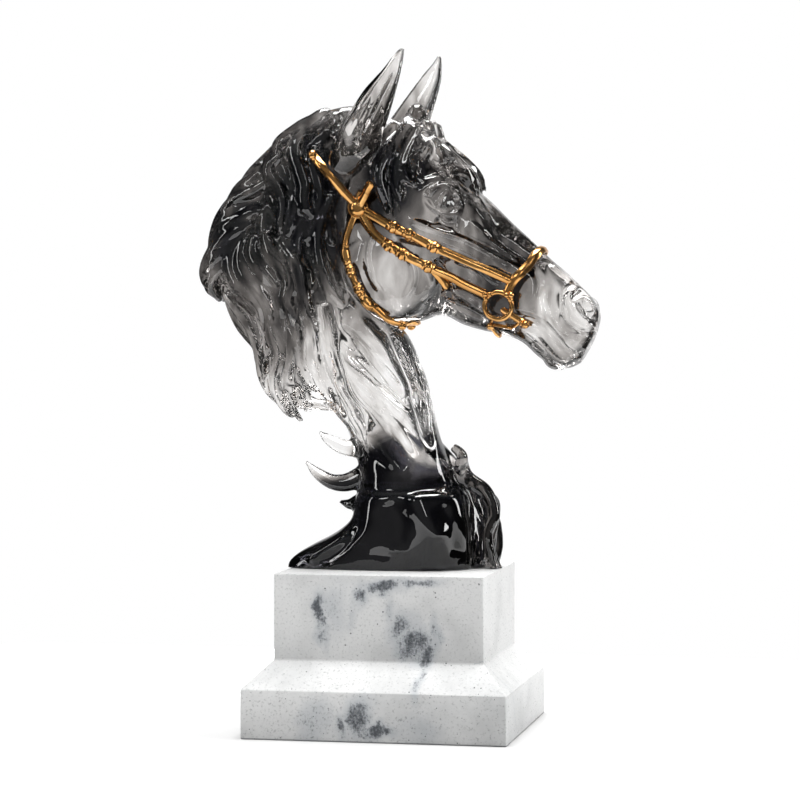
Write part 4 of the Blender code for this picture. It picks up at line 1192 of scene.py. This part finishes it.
def strap(shape, surface, route, width, up=UPRIGHT, reach_below=AIM_REACH):
    """Adds a solid that follows the route on the bust, a gap away from it."""
    rows, places = stations(route)
    reach = round(SETTLING / STATION_SPACING)
    hits = [hit(surface, row, up, reach_below) for row in rows]
    aims = [aim(row, up) for row in rows]
    heights = []
    facings = []
    for k, (point, out, normal) in enumerate(hits):
        facing = sum((near[2] for near in neighbours(hits, k, 2 * reach)), out * 4 * reach).normalized()
        beside = neighbours([near[0] for near in hits], k)
        across = (beside[-1] - beside[0]).cross(facing).normalized()
        offsets = [across * width * side for side in LOOK_SIDES]
        heights.append((point - aims[k][0]).length + rise_above(surface, point, out, offsets))
        facings.append(facing)
    heights = settled(bridged(places, [row[2] for row in rows], heights), reach)
    lift = STRAP_GAP + STRAP_THICKNESS / 2
    centres = [target + out * (height + lift) for (target, out), height in zip(aims, heights)]
    rings = []
    for k, facing in enumerate(facings):
        beside = neighbours(centres, k, 2)
        along = (beside[-1] - beside[0]).normalized()
        across = along.cross(facing).normalized()
        out = across.cross(along).normalized()
        thick = rows[k][3]
        ends = min(1.0, STRAP_END_WIDTH + STRAP_END_WIDENING * min(k, len(facings) - 1 - k))
        ring = []
        for side, height in STRAP_SECTION:
            thickness = STRAP_THICKNESS * (2 * thick - 1 if height > 0 else 1)
            ring.append(centres[k] + across * side * width * thick * ends + out * height * thickness)
        rings.append(ring)
    loft(shape, rings)


def circle(axis_a, axis_b, radius, count):
    return [
        (axis_a * math.cos(2 * math.pi * k / count) + axis_b * math.sin(2 * math.pi * k / count)) * radius
        for k in range(count)
    ]


def plane_axes(out):
    """Two directions along the bust where it faces out: ahead to the nose, and up."""
    ahead = (Vector((1, 0, 0)) - out * out.x).normalized()
    upward = Vector((0, 0, 1)) - out * out.z
    upward = (upward - ahead * upward.dot(ahead)).normalized()
    return ahead, upward


def bead(shape, centre, radius):
    ball(shape, centre, (radius,) * 3, BEAD_SEGMENTS, BEAD_RINGS)


def seated_bead(shape, surface, row, radius, reach_below=AIM_REACH):
    """A small ball that sits on the bust where a row of a route points."""
    point, out, _ = hit(surface, row, reach_below=reach_below)
    rise = rise_above(surface, point, out, [Vector()] + circle(*plane_axes(out), 0.8 * radius, LOOK_POINTS))
    bead(shape, point + out * (rise + STRAP_GAP + radius), radius)


def boss(shape, surface, turn):
    point, out, _ = hit(surface, (*BOSS, turn))
    axes = plane_axes(out)
    rim = circle(*axes, BOSS_RADIUS, LOOK_POINTS)
    rise = rise_above(surface, point, out, rim + [offset / 2 for offset in rim] + [Vector()])
    seat = point + out * (rise + STRAP_GAP)
    rings = []
    for radius, height in BOSS_PROFILE:
        middle = seat + out * height * BOSS_HEIGHT
        rings.append([middle + offset for offset in circle(*axes, radius * BOSS_RADIUS, BOSS_SEGMENTS)])
    loft(shape, rings)


def wire_ring(shape, centre, axes, out, radius, wire):
    """Adds a closed ring of round wire."""
    ahead, upward = axes
    rows = []
    for k in range(RING_SEGMENTS):
        angle = 2 * math.pi * k / RING_SEGMENTS
        way = ahead * math.cos(angle) * radius + upward * math.sin(angle) * radius
        around = circle(way.normalized(), out, wire, WIRE_SEGMENTS)
        rows.append([shape.verts.new(centre + way + offset) for offset in around])
    for k, row in enumerate(rows):
        after = rows[(k + 1) % RING_SEGMENTS]
        for n in range(WIRE_SEGMENTS):
            beside = (n + 1) % WIRE_SEGMENTS
            shape.faces.new((row[n], row[beside], after[beside], after[n]))


def bit_ring(shape, surface, turn):
    """The ring at the corner of the mouth, with the clasps that end two straps on it."""
    point, _, out = hit(surface, (*BIT_RING, turn))
    ahead, upward = plane_axes(out)
    rise = rise_above(surface, point, out, circle(ahead, upward, BIT_RING_RADIUS, 2 * LOOK_POINTS))
    centre = point + out * (rise + STRAP_GAP + BIT_RING_WIRE)
    wire_ring(shape, centre, (ahead, upward), out, BIT_RING_RADIUS, BIT_RING_WIRE)
    for degrees in CLASP_ANGLES:
        angle = math.radians(degrees)
        way = ahead * math.cos(angle) + upward * math.sin(angle)
        side = ahead * -math.sin(angle) + upward * math.cos(angle)
        seat = centre + way * BIT_RING_RADIUS + out * (CLASP_RADIUS - BIT_RING_WIRE)
        for share in (-CLASP_SPREAD, CLASP_SPREAD):
            bead(shape, seat + side * share * CLASP_RADIUS, CLASP_RADIUS * CLASP_BEAD)
        bead(shape, seat + way * CLASP_RADIUS * CLASP_TIP_REACH, CLASP_RADIUS * CLASP_TIP)


def make_bridle(bust):
    """The straps, bosses and bit rings, as one gilt piece that lies on the bust."""
    surface = BVHTree.FromObject(bust, bpy.context.evaluated_depsgraph_get())
    shape = bmesh.new()
    straps = (
        (CROWN_STRAP, CROWN_STRAP_WIDTH),
        (BROWBAND, CHEEK_STRAP_WIDTH),
        (UPPER_CHEEK_STRAP, CHEEK_STRAP_WIDTH),
        (LOWER_CHEEK_STRAP, CHEEK_STRAP_WIDTH),
        (CHEEK_TAB, CHEEK_STRAP_WIDTH),
        (BIT_BAR, BIT_BAR_WIDTH),
        (CURB_BAR, CURB_WIDTH),
    )
    for turn, mirrored in ((0, list), (180, on_far_side)):
        for route, width in straps:
            strap(shape, surface, mirrored(route), width)
        boss(shape, surface, turn)
        bit_ring(shape, surface, turn)
        seated_bead(shape, surface, mirrored(BIT_BAR)[-1], CLASP_RADIUS)
        seated_bead(shape, surface, mirrored(CURB_BAR)[0], CLASP_RADIUS)
        seated_bead(shape, surface, mirrored(CROWN_STRAP)[-1], CROWN_STRAP_WIDTH * CROWN_BALL_SHARE)
        seated_bead(shape, surface, mirrored(THROATLATCH)[THROAT_BALL_ROW], BALL_RADIUS, THROAT_REACH)
    strap(shape, surface, across_to_far(THROATLATCH), THROATLATCH_WIDTH, reach_below=THROAT_REACH)
    strap(shape, surface, across_to_far(CURB_STRAP), CURB_WIDTH)
    strap(shape, surface, across_to_far(NOSEBAND), NOSEBAND_WIDTH, NOSEBAND_UP)
    bridle = add_object("gilt_bridle", shape)
    bridle.data.shade_smooth()
    bridle.data.set_sharp_from_angle(angle=math.radians(SHARP_ANGLE))
    return bridle


# Charcoal smudges of the stone effect: (middle, reach) in mm and their strength. Those in front are the
# photographed ones, and those on the other sides are guessed.
SMUDGES = (
    ((-36, -62, 74), (6, 12, 22), 1.0),
    ((-33, -62, 60), (6, 12, 13), 0.9),
    ((-28, -62, 78), (12, 12, 26), 0.6),
    ((-17, -62, 78), (6, 12, 15), 0.85),
    ((-12, -62, 90), (9, 12, 10), 1.0),
    ((2, -62, 96), (18, 12, 6), 1.0),
    ((24, -62, 98), (22, 12, 4.5), 0.85),
    ((7, -62, 80), (5, 12, 13), 0.75),
    ((15, -62, 68), (11, 12, 14), 0.85),
    ((23, -62, 58), (12, 12, 14), 0.95),
    ((30, -62, 50), (8, 12, 11), 1.0),
    ((33, -62, 63), (5, 12, 17), 0.75),
    ((29, -70, 36), (5, 14, 18), 0.75),
    ((-10, -80, 14), (13, 12, 19), 0.95),
    ((5, -80, 4), (20, 12, 7), 1.0),
    ((-22, -80, 7), (8, 12, 12), 0.9),
    ((-38, -80, 12), (13, 12, 17), 0.6),
    ((32, -80, 8), (18, 12, 13), 0.55),
    ((20, 62, 80), (22, 12, 16), 0.9),
    ((-22, 62, 66), (14, 12, 12), 0.8),
    ((30, 80, 14), (24, 12, 12), 0.8),
    ((-68, 10, 78), (12, 16, 18), 0.8),
    ((-84, -20, 14), (12, 22, 12), 0.7),
)
SMUDGE_WANDER = 32 * MM
VEIN_SIDE = 60 * MM
VEIN_SHIFT = 28 * MM
VEIN_HALF_WIDTH = 0.5 * MM
# Height of the painted contact shadow: the stone is darkened up to here from its foot, as shade where it
# meets the floor.
PAINTED_CONTACT_SHADOW_HEIGHT = 1.3 * MM
STONE_WHITE = (0.62, 0.622, 0.618)
STONE_SHADE = (0.46, 0.465, 0.465)
# Charcoal of the smudges, specks and pits, and also the colour of the painted contact shadow.
SMUDGE_AND_CONTACT_SHADOW_DARK = (0.035, 0.04, 0.048)
SMUDGE_HAZE = (0.30, 0.33, 0.365)
STONE_ROUGHNESS = 0.55

# Resin: its colour for a share of smoke, from clear to black, with painted shade that darkens it where it
# is seen edge-on, standing in for the dark contours of refraction.
RESIN_TINTS = (
    (0.0, (0.965, 0.957, 0.95)),
    (0.22, (0.79, 0.768, 0.748)),
    (0.42, (0.365, 0.344, 0.328)),
    (0.62, (0.102, 0.094, 0.089)),
    (0.82, (0.015, 0.0145, 0.0145)),
    (1.0, (0.002, 0.002, 0.003)),
)
RESIN_STREAKS = 0.22
RESIN_ROUGHNESS = 0.02
RESIN_IOR = 1.56
RESIN_GRAIN = (1.0, 1.0, 0.4)
EDGE_ON_PAINTED_SHADE = 0.85
EDGE_ON_PAINTED_SHADE_COLOUR = (0.02, 0.02, 0.022)

# Gilt metal.
GILT_TINTS = ((0.3, (0.52, 0.255, 0.075)), (0.7, (0.64, 0.36, 0.13)))
GILT_POLISHED = 0.17
GILT_WORN = 0.27

# Camera, fitted to the plinth's corners in the photograph.
CAMERA_YAW = 11.4
CAMERA_PITCH = 1.47
CAMERA_DISTANCE = 1.7766
CAMERA_LENS = 125.8
CAMERA_TARGET_SHIFT = 0.00165
CAMERA_TARGET_HEIGHT = 0.2075

# Studio: a small pale floor that glows towards its edge, and a room that is lit behind the figurine.
FLOOR_SIZE = 0.8
FLOOR_TINTS = ((0.3, (0.47, 0.47, 0.47)), (0.7, (0.5, 0.5, 0.5)))
FLOOR_ROUGHNESS = 0.7
FLOOR_GLOW_FROM = 0.14
FLOOR_GLOW_TO = 0.4
FLOOR_GLOW_LOW = 0.05
FLOOR_GLOW_HIGH = 0.8
GLOW_BEHIND = 0.97
GLOW_BEFORE = 0.2
GLOW_ABOVE = 0.3
ROOM_GLOW = 0.03
LIGHTS_FACE = (0.0, 0.0, 0.22)

# Soft lights: name, place, size and watts.
LIGHTS = (
    ("top_softbox", (0.0, 0.1, 1.9), (1.1, 1.1), 88),
    ("right_softbox", (1.6, 0.05, 0.6), (0.4, 1.1), 17),
    ("left_strip", (-1.2, -0.8, 0.6), (0.1, 1.2), 3.2),
    ("front_right_strip", (0.7, -1.5, 0.8), (0.1, 0.8), 2.4),
    ("front_left_window", (-0.8, -1.4, 1.2), (0.3, 0.3), 2.6),
)


def raised(shape, face, height, scale=(1.0, 1.0)):
    """Extrudes a level face upwards, with its length and depth scaled, and gives the new top."""
    top = bmesh.ops.extrude_discrete_faces(shape, faces=[face])["faces"][0]
    bmesh.ops.translate(shape, verts=top.verts, vec=(0, 0, height))
    bmesh.ops.scale(shape, verts=top.verts, vec=(*scale, 1.0))
    return top


def make_plinth():
    shape = bmesh.new()
    slab = Matrix.LocRotScale((0, 0, SLAB_HEIGHT / 2), None, (SLAB_LENGTH, SLAB_DEPTH, SLAB_HEIGHT))
    bmesh.ops.create_cube(shape, size=1.0, matrix=slab)
    top = max(shape.faces, key=lambda face: face.calc_center_median().z)
    shoulder = raised(shape, top, SHOULDER_HEIGHT, (DIE_LENGTH / SLAB_LENGTH, DIE_DEPTH / SLAB_DEPTH))
    raised(shape, shoulder, DIE_HEIGHT)
    plinth = add_object("stone_plinth", shape)
    eased = plinth.modifiers.new("eased_edges", "BEVEL")
    eased.width = PLINTH_EDGE
    eased.segments = PLINTH_EDGE_SEGMENTS
    eased.harden_normals = True
    mesh = settle(plinth)
    mesh.shade_smooth()
    mesh.set_sharp_from_angle(angle=math.radians(SHARP_ANGLE))
    return plinth


def node(tree, kind, inputs=(), **settings):
    """Adds a shader node. Its inputs are numbers, colours or other nodes' outputs, by name or number."""
    made = tree.nodes.new(kind)
    for name, value in settings.items():
        setattr(made, name, value)
    for name, value in dict(inputs).items():
        if isinstance(value, bpy.types.NodeSocket):
            tree.links.new(value, made.inputs[name])
        else:
            made.inputs[name].default_value = value
    return made


def maths(tree, operation, first, second=0.0, clamp=False):
    inputs = {0: first, 1: second}
    return node(tree, "ShaderNodeMath", inputs, operation=operation, use_clamp=clamp).outputs[0]


def plus(tree, first, second):
    return maths(tree, "ADD", first, second)


def minus(tree, first, second):
    return maths(tree, "SUBTRACT", first, second)


def times(tree, first, second):
    return maths(tree, "MULTIPLY", first, second)


def mixed(tree, share, first, second):
    """One colour laid over another by a share."""
    made = node(tree, "ShaderNodeMix", {0: share}, data_type="RGBA")
    for number, colour in ((6, first), (7, second)):
        if isinstance(colour, bpy.types.NodeSocket):
            tree.links.new(colour, made.inputs[number])
        else:
            made.inputs[number].default_value = (*colour, 1.0)
    return made.outputs[2]


def between(tree, value, low, high, to_low=0.0, to_high=1.0):
    """A value taken smoothly from one range to another."""
    inputs = {0: value, 1: low, 2: high, 3: to_low, 4: to_high}
    return node(tree, "ShaderNodeMapRange", inputs, interpolation_type="SMOOTHSTEP").outputs[0]


def ramp(tree, value, stops):
    made = node(tree, "ShaderNodeValToRGB", {0: value})
    elements = made.color_ramp.elements
    while len(elements) < len(stops):
        elements.new(0.5)
    for element, (place, colour) in zip(elements, stops):
        element.position = place
        element.color = (*colour, 1.0)
    return made.outputs[0]


def object_places(tree, scale=(1.0, 1.0, 1.0), turn=(0.0, 0.0, 0.0)):
    places = node(tree, "ShaderNodeTexCoord").outputs["Object"]
    mapping = node(tree, "ShaderNodeMapping", {"Vector": places, "Rotation": turn, "Scale": scale})
    return mapping.outputs[0]


def noise_of(tree, places, scale, detail=4.0, roughness=0.5, distortion=0.0):
    inputs = {"Vector": places, "Scale": scale, "Detail": detail, "Roughness": roughness}
    inputs["Distortion"] = distortion
    return node(tree, "ShaderNodeTexNoise", inputs)


def new_material(name):
    made = bpy.data.materials.new(name)
    made.use_nodes = True
    return made, made.node_tree, made.node_tree.nodes["Principled BSDF"]


def bump(tree, shader, height, strength, distance):
    made = node(tree, "ShaderNodeBump", {"Height": height, "Strength": strength, "Distance": distance})
    tree.links.new(made.outputs[0], shader.inputs["Normal"])


def resin_material():
    """Clear resin with a smoke tint that swirls through it, and painted shade where it is seen edge-on."""
    made, tree, shader = new_material("smoked_resin")
    smoke = node(tree, "ShaderNodeAttribute", attribute_name="smoke").outputs["Fac"]
    streaks = noise_of(tree, object_places(tree, RESIN_GRAIN), 80.0, 3.0, 0.55, 0.8).outputs[0]
    cloudy = plus(tree, smoke, times(tree, minus(tree, streaks, 0.5), RESIN_STREAKS))
    colour = ramp(tree, cloudy, RESIN_TINTS)
    # Painted shade: the colour turns dark where the surface is seen edge-on, for the dark contours that
    # refraction gives.
    rim = node(tree, "ShaderNodeLayerWeight", {"Blend": 0.35}).outputs["Facing"]
    rim = between(tree, rim, 0.45, 1.0, 0.0, EDGE_ON_PAINTED_SHADE)
    colour = mixed(tree, rim, colour, EDGE_ON_PAINTED_SHADE_COLOUR)
    tree.links.new(colour, shader.inputs["Base Color"])
    shader.inputs["Transmission Weight"].default_value = 1.0
    shader.inputs["Roughness"].default_value = RESIN_ROUGHNESS
    shader.inputs["IOR"].default_value = RESIN_IOR
    ripples = noise_of(tree, object_places(tree, RESIN_GRAIN), 75.0, 2.0, 0.5, 0.4).outputs[0]
    bump(tree, shader, ripples, 0.1, 0.0012)
    return made


def gilt_material():
    """Warm gilding in patches of tone, with fine wear in its sheen."""
    made, tree, shader = new_material("gilt_metal")
    places = object_places(tree)
    wear = noise_of(tree, places, 420.0, 5.0, 0.6).outputs[0]
    patches = noise_of(tree, places, 90.0, 3.0, 0.5).outputs[0]
    tree.links.new(ramp(tree, patches, GILT_TINTS), shader.inputs["Base Color"])
    shader.inputs["Metallic"].default_value = 1.0
    tree.links.new(between(tree, wear, 0.3, 0.75, GILT_POLISHED, GILT_WORN), shader.inputs["Roughness"])
    bump(tree, shader, wear, 0.05, 0.0003)
    return made


def smudge_cover(tree):
    """How much charcoal lies on the stone: a share for its haze, from 0 to 1."""
    places = object_places(tree)
    warp = noise_of(tree, places, 26.0, 5.0, 0.65).outputs["Color"]
    inputs = {0: warp, 1: (0.5, 0.5, 0.5)}
    shift = node(tree, "ShaderNodeVectorMath", inputs, operation="SUBTRACT").outputs[0]
    inputs = {0: shift, "Scale": SMUDGE_WANDER}
    wander = node(tree, "ShaderNodeVectorMath", inputs, operation="SCALE").outputs[0]
    warped = node(tree, "ShaderNodeVectorMath", {0: places, 1: wander}, operation="ADD").outputs[0]
    cover = 0.0
    for middle, reach, strength in SMUDGES:
        scale = [1 / (MM * size) for size in reach]
        offset = [-MM * place * size for place, size in zip(middle, scale)]
        inputs = {"Vector": warped, "Location": offset, "Scale": scale}
        local = node(tree, "ShaderNodeMapping", inputs).outputs[0]
        away = node(tree, "ShaderNodeVectorMath", {0: local}, operation="LENGTH").outputs["Value"]
        cover = maths(tree, "MAXIMUM", cover, between(tree, away, 0.2, 1.2, strength, 0.0))
    return cover


def stone_material():
    """White stone effect: soft clouds, charcoal smudges of fine grain, a vein, dark specks and pits, and a
    painted contact shadow along its foot.
    """
    made, tree, shader = new_material("stone_effect")
    places = object_places(tree)
    clouds = noise_of(tree, places, 16.0, 5.0, 0.6).outputs[0]
    colour = mixed(tree, between(tree, clouds, 0.4, 0.72), STONE_WHITE, STONE_SHADE)
    grain = noise_of(tree, places, 650.0, 3.0, 0.7).outputs[0]
    colour = mixed(tree, between(tree, grain, 0.35, 0.75, 0.0, 0.28), colour, STONE_SHADE)

    cover = smudge_cover(tree)
    colour = mixed(tree, times(tree, cover, 0.7), colour, SMUDGE_HAZE)
    strokes = noise_of(tree, object_places(tree, (1.0, 1.0, 0.3)), 190.0, 5.0, 0.7, 0.5).outputs[0]
    dark = plus(tree, times(tree, cover, 0.42), times(tree, strokes, 0.55))
    dark = plus(tree, dark, times(tree, grain, 0.42))
    dark = times(tree, between(tree, dark, 0.72, 0.97), between(tree, cover, 0.03, 0.3))
    colour = mixed(tree, times(tree, dark, 0.92), colour, SMUDGE_AND_CONTACT_SHADOW_DARK)

    parts = node(tree, "ShaderNodeSeparateXYZ", {0: places})
    wobble = times(tree, minus(tree, clouds, 0.5), 0.05)
    leaning = plus(tree, parts.outputs["Y"], times(tree, parts.outputs["Z"], 0.6))
    along = plus(tree, plus(tree, leaning, wobble), VEIN_SHIFT)
    vein = between(tree, maths(tree, "ABSOLUTE", along), 0.0, VEIN_HALF_WIDTH, 0.7, 0.0)
    vein = times(tree, vein, maths(tree, "GREATER_THAN", parts.outputs["X"], VEIN_SIDE))
    colour = mixed(tree, vein, colour, SMUDGE_HAZE)

    pits = between(tree, grain, 0.55, 0.72, 0.0, 0.42)
    cells = node(tree, "ShaderNodeTexVoronoi", {"Vector": places, "Scale": 300.0})
    lottery = node(tree, "ShaderNodeSeparateColor", {0: cells.outputs["Color"]})
    chosen = maths(tree, "GREATER_THAN", lottery.outputs[0], 0.7)
    size = between(tree, lottery.outputs[1], 0.0, 1.0, 0.04, 0.16)
    specks = times(tree, maths(tree, "LESS_THAN", cells.outputs["Distance"], size), chosen)
    marks = maths(tree, "MAXIMUM", times(tree, specks, 0.8), pits)
    colour = mixed(tree, marks, colour, SMUDGE_AND_CONTACT_SHADOW_DARK)
    # Painted contact shadow: the stone's lowest edge is darkened, as shade where it meets the floor.
    painted_contact_shadow = between(tree, parts.outputs["Z"], 0.0, PAINTED_CONTACT_SHADOW_HEIGHT, 0.85, 0.0)
    colour = mixed(tree, painted_contact_shadow, colour, SMUDGE_AND_CONTACT_SHADOW_DARK)
    tree.links.new(colour, shader.inputs["Base Color"])
    shader.inputs["Roughness"].default_value = STONE_ROUGHNESS
    height = minus(tree, times(tree, grain, 0.5), specks)
    bump(tree, shader, height, 0.35, 0.00025)
    return made


def floor_material():
    made, tree, shader = new_material("pale_floor")
    tone = noise_of(tree, object_places(tree), 3.0, 2.0).outputs[0]
    tree.links.new(ramp(tree, tone, FLOOR_TINTS), shader.inputs["Base Color"])
    shader.inputs["Roughness"].default_value = FLOOR_ROUGHNESS
    away = node(tree, "ShaderNodeVectorMath", {0: object_places(tree)}, operation="LENGTH").outputs["Value"]
    shader.inputs["Emission Color"].default_value = (1.0, 1.0, 1.0, 1.0)
    glow = between(tree, away, FLOOR_GLOW_FROM, FLOOR_GLOW_TO, FLOOR_GLOW_LOW, FLOOR_GLOW_HIGH)
    tree.links.new(glow, shader.inputs["Emission Strength"])
    return made


def make_floor():
    shape = bmesh.new()
    bmesh.ops.create_grid(shape, x_segments=1, y_segments=1, size=FLOOR_SIZE / 2)
    floor = add_object("floor", shape)
    floor.data.materials.append(floor_material())


def make_world():
    """A studio: a bright backdrop behind the figurine, a dim room round it, and white for the camera."""
    world = bpy.data.worlds.new("studio")
    bpy.context.scene.world = world
    world.use_nodes = True
    tree = world.node_tree
    way = node(tree, "ShaderNodeTexCoord").outputs["Generated"]
    parts = node(tree, "ShaderNodeSeparateXYZ", {0: way})
    behind = between(tree, parts.outputs["Y"], 0.72, 0.92, 0.0, GLOW_BEHIND)
    before = between(tree, parts.outputs["Y"], -0.95, -0.6, GLOW_BEFORE, 0.0)
    above = between(tree, parts.outputs["Z"], 0.75, 0.95, 0.0, GLOW_ABOVE)
    glow = plus(tree, plus(tree, behind, before), above)
    glow = maths(tree, "ADD", glow, ROOM_GLOW, clamp=True)
    seen = node(tree, "ShaderNodeLightPath").outputs["Is Camera Ray"]
    strength = maths(tree, "MAXIMUM", glow, seen)
    backdrop = tree.nodes["Background"]
    tree.links.new(strength, backdrop.inputs["Strength"])
    backdrop.inputs["Color"].default_value = (1.0, 1.0, 1.0, 1.0)


def make_lights():
    for name, place, size, watts in LIGHTS:
        lamp = bpy.data.lights.new(name, "AREA")
        lamp.shape = "RECTANGLE"
        lamp.size, lamp.size_y = size
        lamp.energy = watts
        made = bpy.data.objects.new(name, lamp)
        made.location = place
        made.rotation_euler = (Vector(LIGHTS_FACE) - Vector(place)).to_track_quat("-Z", "Y").to_euler()
        bpy.context.scene.collection.objects.link(made)


def make_camera():
    yaw = math.radians(CAMERA_YAW)
    pitch = math.radians(CAMERA_PITCH)
    side = Vector((math.cos(yaw), math.sin(yaw), 0)) * CAMERA_TARGET_SHIFT
    target = side + Vector((0, 0, CAMERA_TARGET_HEIGHT))
    back = Vector((math.sin(yaw) * math.cos(pitch), -math.cos(yaw) * math.cos(pitch), math.sin(pitch)))
    lens = bpy.data.cameras.new("photo_camera")
    lens.lens = CAMERA_LENS
    camera = bpy.data.objects.new("photo_camera", lens)
    camera.location = target + back * CAMERA_DISTANCE
    camera.rotation_euler = (-back).to_track_quat("-Z", "Y").to_euler()
    bpy.context.scene.collection.objects.link(camera)
    bpy.context.scene.camera = camera


def place_piece(made, cad_node, material):
    """Gives a piece its material, and lays it over the CAD node that it stands for."""
    made.data.materials.clear()
    made.data.materials.append(material)
    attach(made, "root")
    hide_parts(cad_node)


def main():
    bust = make_bust()
    bridle = make_bridle(bust)
    place_piece(bust, "horse_head", resin_material())
    place_piece(bridle, "bridle", gilt_material())
    place_piece(make_plinth(), "plinth", stone_material())
    make_floor()
    make_world()
    make_lights()
    make_camera()
    bpy.context.scene.view_settings.view_transform = "Standard"


main()
